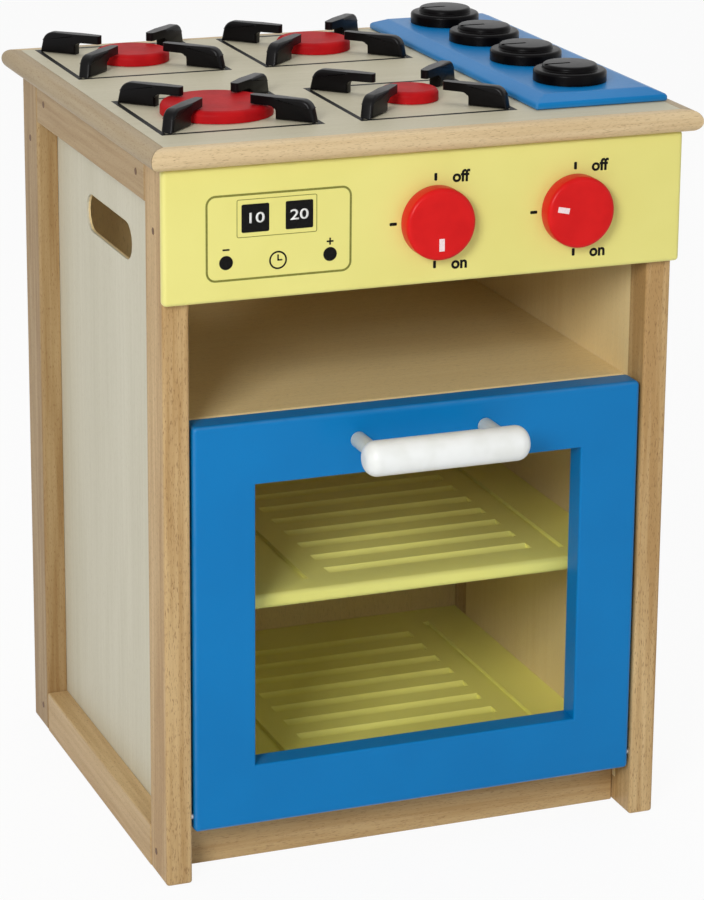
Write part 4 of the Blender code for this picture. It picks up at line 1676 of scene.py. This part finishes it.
@dataclass
class FrontPanel:
    """The yellow control panel with its prints and the two red knobs."""

    palette: Palette
    rounding: float = 3.0 * MM
    knob_rounding: float = 3.2 * MM
    pointer: Tuple[float, float] = (9.0 * MM, 4.2 * MM)
    pointer_depth: float = 0.8 * MM
    pointer_radius: float = 14.2 * MM
    mark_slack: float = 0.05 * MM
    mark_recess: float = 0.1 * MM
    mark_floor: float = 0.6 * MM
    mark_rounding: float = 0.12 * MM
    overrun: float = 4.0 * MM
    back_rounding: float = 0.8 * MM
    spindle_radius: float = 3.5 * MM
    spindle_rounding: float = 0.4 * MM
    tick_radius: float = 31.0 * MM
    tick: Tuple[float, float] = (2.2 * MM, 5.4 * MM)
    tick_corner: float = 0.7 * MM
    word_size: float = 11.5 * MM
    word_bolder: float = 0.4 * MM
    word_aside: float = 18.5 * MM
    ink_height: float = 0.08 * MM
    gap: float = 0.3 * MM
    body: str = "cabinet"
    plan: TimerPlan = TimerPlan()
    face: float = field(init=False, default=0.0)

    def board(self) -> None:
        """Build the painted board."""
        node = "control_panel"
        low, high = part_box(node)
        self.face = low.y
        piece = Bench.block("dressed_" + node, low, high)
        Bench.bevel_all(piece, self.rounding, 5)
        surface = self.palette.painted(
            "panel_paint",
            self.palette.yellow,
            self.palette.yellow_shade,
            low,
            high,
        )
        enter(dress(piece, surface), self.body, "yellow_paint", node)

    def knob(self, side: str, angle: float, red: bpy.types.Material, mark: bpy.types.Material) -> Point:
        """Build one red knob with its mark.

        Args:
            side: Which knob.
            angle: Where its mark points, in degrees from the right.
            red: The knob's material.
            mark: The mark's material.

        Returns:
            The knob's centre on the panel.
        """
        node = "oven_knob_" + side
        low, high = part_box(node)
        centre = Vector(((low.x + high.x) / 2, self.face, (low.z + high.z) / 2))
        radius = (high.x - low.x) / 2
        front = low.y
        back = self.face - self.gap
        place = (centre.x, (front + back) / 2, centre.z)
        piece = Bench.drum("dressed_" + node, place, radius, back - front, Axis.Y, 96)

        def rim(level: float) -> Callable[[Vector, Vector], bool]:
            """Return a test for the edges round the front or back."""
            return lambda first, second: abs(first.y - level) + abs(second.y - level) < TOUCH

        Bench.bevel(piece, self.knob_rounding, 8, rim(front))
        Bench.bevel(piece, self.back_rounding, 3, rim(back))
        Bench.frame_caps(piece, Axis.Y, 0.4 * MM)
        half = (self.pointer[0] / 2, self.pointer[1] / 2)
        turn = Matrix.Rotation(-math.radians(angle), 4, "Y")
        pivot = Matrix.Translation(centre)
        body = node + "_body"
        bars = (
            ("cut", 0.0, front + self.pointer_depth, front - self.overrun),
            ("mark", self.mark_slack, front + self.mark_floor, front + self.mark_recess),
        )
        for label, slack, bottom, top in bars:
            bar = Bench.block(
                "cutter",
                (self.pointer_radius - half[0] + slack, min(bottom, top) - centre.y, -half[1] + slack),
                (self.pointer_radius + half[0] - slack, max(bottom, top) - centre.y, half[1] - slack),
            )
            bar.data.transform(pivot @ turn)
            if label == "cut":
                Bench.cut(piece, [bar])
            else:
                bar.name = "pointer_" + side
                Bench.bevel_all(bar, self.mark_rounding, 2)
                enter(dress(bar, mark), body, "white_paint")
        Bench.smooth(piece)
        enter(dress(piece, red), body, "red_paint", node)
        spindle = Bench.drum(
            "spindle_" + node,
            (centre.x, (back + high.y) / 2, centre.z),
            self.spindle_radius,
            high.y - back,
            Axis.Y,
            32,
        )
        Bench.bevel_all(spindle, self.spindle_rounding, 2)
        Bench.smooth(spindle)
        enter(dress(spindle, red), body, "red_paint")
        return (centre.x, centre.y, centre.z)

    def stamp(self, piece: bpy.types.Object, across: float, up: float, ink: bpy.types.Material) -> None:
        """Print a flat shape on the panel's face.

        Args:
            piece: The shape.
            across: Its place in X.
            up: Its height.
            ink: Its ink.
        """
        Stencil.post_up(piece, (across, self.face, up), self.ink_height)
        enter(dress(piece, ink), self.body, "black_paint")

    def dial(self, side: str, centre: Point, ink: bpy.types.Material) -> None:
        """Print the three ticks and two generic words round a knob.

        Args:
            side: Which knob.
            centre: The knob's centre on the panel.
            ink: The ink.
        """
        across, _, up = centre
        reach = self.tick_radius
        bars = (
            ("top", 0.0, reach, self.tick),
            ("left", -reach, 0.0, self.tick[::-1]),
            ("bottom", 0.0, -reach, self.tick),
        )
        for label, aside, above, size in bars:
            piece = Stencil.plate("tick_" + side + "_" + label, size, self.tick_corner)
            self.stamp(piece, across + aside, up + above, ink)
        for text, above in (("off", reach - 1.0 * MM), ("on", -reach - 0.5 * MM)):
            name = "word_" + text + "_" + side
            piece = Stencil.words(name, text, self.word_size, self.word_bolder)
            self.stamp(piece, across + self.word_aside, up + above, ink)

    def timer(
        self,
        ink: bpy.types.Material,
        light: bpy.types.Material,
        olive: bpy.types.Material,
    ) -> None:
        """Print the timer: an outline, two numbered squares, two buttons and a clock face.

        Args:
            ink: The dark ink.
            light: The numbers' ink.
            olive: The outlines' ink.
        """
        plan = self.plan
        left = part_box("post_front_left")[0].x
        across, up = plan.outline_place
        outline = Stencil.plate("timer_outline", plan.outline, plan.outline_corner, plan.outline_line)
        self.stamp(outline, left + across, up, olive)
        across, up = plan.window_place
        window = Stencil.plate("timer_window", plan.window, plan.window_corner, plan.window_line)
        self.stamp(window, left + across, up, olive)
        for text, across in plan.numbers:
            plate = Stencil.plate("timer_square_" + text, plan.square, plan.square_corner)
            self.stamp(plate, left + across, plan.square_height, ink)
            digits = Stencil.words("timer_number_" + text, text, plan.number_size, plan.number_bolder)
            digits.scale = (plan.number_spread, 1.0, 1.0)
            Bench.settle(digits)
            place = (left + across, self.face - self.ink_height, plan.number_height)
            Stencil.post_up(digits, place, self.ink_height)
            enter(dress(digits, light), self.body, "white_paint")
        for label, across in plan.buttons:
            dot = Stencil.disc("timer_button_" + label, plan.button_radius)
            self.stamp(dot, left + across, plan.button_height, ink)
            bar = Stencil.plate("timer_sign_" + label, plan.sign, plan.sign_corner)
            self.stamp(bar, left + across, plan.sign_height, ink)
            if label == "plus":
                upright = Stencil.plate("timer_sign_upright", plan.sign[::-1], plan.sign_corner)
                self.stamp(upright, left + across, plan.sign_height, ink)
        across, up = plan.clock_place
        rim = Stencil.disc("clock_rim", plan.clock_radius, plan.clock_line)
        self.stamp(rim, left + across, up, ink)
        for name, size, aside, above in plan.hands:
            hand = Stencil.plate(name, size, plan.sign_corner)
            self.stamp(hand, left + across + aside, up + above, ink)

    def build(self) -> None:
        """Build the panel, its knobs and its prints."""
        self.board()
        tones = self.palette
        red = Enamel("knob_red", tones.red, tones.red_shade, 0.36, 0.05, 0.14).material()
        mark = Ink("pointer_white", srgb(246, 226, 226), srgb(238, 208, 208), 0.4).material()
        ink = Ink("panel_ink", srgb(10, 9, 9), srgb(22, 20, 18)).material()
        light = Ink("number_white", srgb(240, 240, 238), srgb(226, 226, 222)).material()
        olive = Ink("panel_olive_ink", srgb(124, 124, 56), srgb(140, 138, 68)).material()
        for side, angle in (("left", -90.0), ("right", 168.0)):
            centre = self.knob(side, angle, red, mark)
            self.dial(side, centre, ink)
        self.timer(ink, light, olive)


@dataclass
class OvenDoor:
    """The blue drop-down door with its pane, handle and catch."""

    palette: Palette
    rounding: float = 3.4 * MM
    window_rounding: float = 1.6 * MM
    frame_width: float = 45.5 * MM
    pane_setback: float = 18.0 * MM
    pane_lap: float = 5.8 * MM
    handle_end: float = 9.5 * MM
    stand_rounding: float = 0.5 * MM
    overrun: float = 5.0 * MM
    body: str = "oven_door"

    def leaf(self) -> None:
        """Build the door's frame."""
        node = "door_frame"
        low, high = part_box(node)
        piece = Bench.block("dressed_" + node, low, high)
        side = self.frame_width
        window = Bench.block(
            "cutter",
            (low.x + side, low.y - self.overrun, low.z + side),
            (high.x - side, high.y + self.overrun, high.z - side),
        )
        lap = side - self.pane_lap
        rebate = Bench.block(
            "cutter",
            (low.x + lap, low.y + self.pane_setback, low.z + lap),
            (high.x - lap, high.y + self.overrun, high.z - lap),
        )
        Bench.cut(piece, [window, rebate])
        Bench.bevel(piece, self.rounding, 5, Bench.box_edges(low, high))
        inner_low = (low.x + side, low.y, low.z + side)
        inner_high = (high.x - side, low.y, high.z - side)

        def window_rim(first: Vector, second: Vector) -> bool:
            """Return whether an edge lies round the window's front."""
            for point in (first, second):
                ahead = abs(point.y - low.y) < TOUCH
                across = inner_low[0] - TOUCH < point.x < inner_high[0] + TOUCH
                up = inner_low[2] - TOUCH < point.z < inner_high[2] + TOUCH
                if not (ahead and across and up):
                    return False
            return abs(first.x - second.x) < TOUCH or abs(first.z - second.z) < TOUCH

        Bench.bevel(piece, self.window_rounding, 4, window_rim)
        surface = self.palette.painted(
            "door_paint",
            self.palette.blue,
            self.palette.blue_shade,
            low,
            high,
        )
        enter(dress(piece, surface), self.body, "blue_paint", node)

    def handle(self) -> None:
        """Build the white bar and its two standoffs."""
        node = "handle_bar"
        low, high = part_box(node)
        centre = ((low.x + high.x) / 2, (low.y + high.y) / 2, (low.z + high.z) / 2)
        radius = (high.z - low.z) / 2
        piece = Bench.drum("dressed_" + node, centre, radius, high.x - low.x, Axis.X, 96)

        def end_rim(first: Vector, second: Vector) -> bool:
            """Return whether an edge lies round one end."""
            return abs(first.x - second.x) < TOUCH

        Bench.bevel(piece, self.handle_end, 12, end_rim)
        Bench.frame_caps(piece, Axis.X, 0.4 * MM)
        Bench.smooth(piece)
        tones = self.palette
        white = Enamel("handle_white", tones.white, tones.white_shade, 0.32, 0.1).material()
        enter(dress(piece, white), self.body, "white_paint", node)
        metal = SatinMetal(
            "standoff_metal",
            srgb(222, 222, 208),
            srgb(208, 208, 192),
            Axis.Y,
            0.36,
            0.1,
        ).material()
        for side in ("left", "right"):
            stand = "handle_standoff_" + side
            low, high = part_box(stand)
            centre = ((low.x + high.x) / 2, (low.y + high.y) / 2, (low.z + high.z) / 2)
            radius = (high.x - low.x) / 2
            post = Bench.drum("dressed_" + stand, centre, radius, high.y - low.y, Axis.Y, 64)
            Bench.bevel(post, self.stand_rounding, 3, lambda one, two: abs(one.y - two.y) < TOUCH)
            Bench.smooth(post)
            enter(dress(post, metal), self.body, "bright_metal", stand)

    def fittings(self) -> None:
        """Finish the pane, the pivots and the catch, which keep their CAD shape."""
        finish_node("door_glazing", ClearSheet("clear_pane", (0.05, 0.055, 0.04), 0.02).material())
        pin = SatinMetal("pin_metal", srgb(190, 190, 192), srgb(170, 170, 174), Axis.X).material()
        for node in ("door_pivot_pin_left", "door_pivot_pin_right", "catch_plate"):
            finish_node(node, pin)
        plastic = Moulding("catch_plastic", srgb(226, 224, 216), srgb(214, 212, 204)).material()
        finish_node("door_catch", plastic)

    def build(self) -> None:
        """Build the door."""
        self.leaf()
        self.handle()
        self.fittings()


@dataclass(frozen=True)
class Lamp:
    """A soft square lamp that looks at a point."""

    name: str
    place: Point
    aim: Point
    size: float
    power: float

    def hang(self) -> None:
        """Put the lamp into the scene."""
        data = bpy.data.lights.new(self.name, "AREA")
        data.shape = "SQUARE"
        data.size = self.size
        data.energy = self.power
        item = bpy.data.objects.new(self.name, data)
        bpy.context.scene.collection.objects.link(item)
        item.location = self.place
        direction = Vector(self.aim) - Vector(self.place)
        item.rotation_euler = direction.to_track_quat("-Z", "Y").to_euler()


@dataclass
class Studio:
    """The camera, the floor and the lights."""

    focal: float = 3347.24
    yaw: float = -22.069
    pitch: float = 16.171
    roll: float = 0.741
    eye: Point = (-658.744, -2072.611, 1026.938)
    shift: Tuple[float, float] = (60.0, -100.0)
    frame_long: float = 900.0
    sensor: float = 36.0
    floor_size: float = 30.0
    floor_drop: float = 0.4 * MM
    floor_glow: float = 0.93
    sky_level: float = 0.35
    lamps: Tuple[Lamp, ...] = (
        Lamp("key", (-1.7, -2.16, 1.6), (0.0, 0.0, 0.3), 0.9, 50.0),
        Lamp("fill", (1.6, -2.8, 0.9), (0.0, 0.0, 0.35), 1.6, 5.0),
        Lamp("top", (0.3, 0.6, 2.6), (0.0, 0.0, 0.5), 1.6, 12.0),
    )

    def camera(self) -> None:
        """Place the camera where the photograph was taken from."""
        data = bpy.data.cameras.new("camera")
        item = bpy.data.objects.new("camera", data)
        bpy.context.scene.collection.objects.link(item)
        data.sensor_width = self.sensor
        data.lens = self.focal * self.sensor / self.frame_long
        data.shift_x = -self.shift[0] / self.frame_long
        data.shift_y = self.shift[1] / self.frame_long
        data.clip_end = 50.0
        yaw, pitch, roll = (math.radians(value) for value in (self.yaw, self.pitch, self.roll))
        level = math.cos(pitch)
        forward = Vector((-math.sin(yaw) * level, math.cos(yaw) * level, -math.sin(pitch)))
        right = forward.cross(Vector((0, 0, 1))).normalized()
        up = right.cross(forward)
        across = right * math.cos(roll) + up * math.sin(roll)
        above = up * math.cos(roll) - right * math.sin(roll)
        turn = Matrix((across, above, -forward)).transposed()
        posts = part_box("post_front_left")[0]
        place = Vector((posts.x + self.eye[0] * MM, posts.y + self.eye[1] * MM, self.eye[2] * MM))
        item.matrix_world = Matrix.Translation(place) @ turn.to_4x4()
        bpy.context.scene.camera = item

    def floor(self) -> None:
        """Lay a white floor that keeps the cooker's soft shadow."""
        Bench.clear()
        bpy.ops.mesh.primitive_plane_add(size=self.floor_size, location=(0, 0, -self.floor_drop))
        ground = bpy.context.object
        ground.name = "floor"
        made = Surface("floor_white")
        path = made.node("ShaderNodeLightPath", {}, {})
        seen = Signal(made, path.outputs["Is Camera Ray"])
        mirrored = Signal(made, path.outputs["Is Glossy Ray"])
        through = Signal(made, path.outputs["Is Transmission Ray"])
        share = (seen + mirrored + through).least(1.0) * self.floor_glow
        made.set(Base_Color=(0.85, 0.85, 0.85), Roughness=0.9)
        glow = made.node("ShaderNodeEmission", {}, {"Color": (1.0, 1.0, 1.0), "Strength": 1.0})
        mix = made.node(
            "ShaderNodeMixShader",
            {},
            {0: share, 1: made.shader.outputs[0], 2: glow.outputs[0]},
        )
        made.tree.links.new(mix.outputs[0], made.output.inputs["Surface"])
        dress(ground, made.material)

    def sky(self, strength: float) -> None:
        """Light the scene evenly, with a white background for the camera and for reflections.

        Args:
            strength: The world's strength for the light that falls on the cooker.
        """
        world = bpy.data.worlds.new("studio")
        bpy.context.scene.world = world
        world.use_nodes = True
        tree = world.node_tree
        back = tree.nodes["Background"]
        back.inputs["Color"].default_value = (1.0, 1.0, 1.0, 1.0)
        path = tree.nodes.new("ShaderNodeLightPath")
        total = path.outputs["Is Camera Ray"]
        for kind in ("Is Glossy Ray", "Is Transmission Ray"):
            larger = tree.nodes.new("ShaderNodeMath")
            larger.operation = "MAXIMUM"
            tree.links.new(total, larger.inputs[0])
            tree.links.new(path.outputs[kind], larger.inputs[1])
            total = larger.outputs[0]
        level = tree.nodes.new("ShaderNodeMapRange")
        tree.links.new(total, level.inputs["Value"])
        level.inputs["To Min"].default_value = strength
        level.inputs["To Max"].default_value = 1.0
        tree.links.new(level.outputs[0], back.inputs["Strength"])

    def build(self) -> None:
        """Set up the studio."""
        scene = bpy.context.scene
        scene.view_settings.view_transform = "Standard"
        self.camera()
        self.floor()
        self.sky(self.sky_level)
        for lamp in self.lamps:
            lamp.hang()


def main() -> None:
    """Build every part of the cooker and the studio round it."""
    logging.basicConfig(level=logging.INFO, format="%(name)s: %(message)s")
    palette = Palette()
    Cabinet(palette).build()
    HobTop(palette).build()
    Burners(palette).build()
    HobControls(palette).build()
    FrontPanel(palette).build()
    OvenDoor(palette).build()
    Studio().build()
    Bench.clear()


if __name__ == "__main__":
    main()
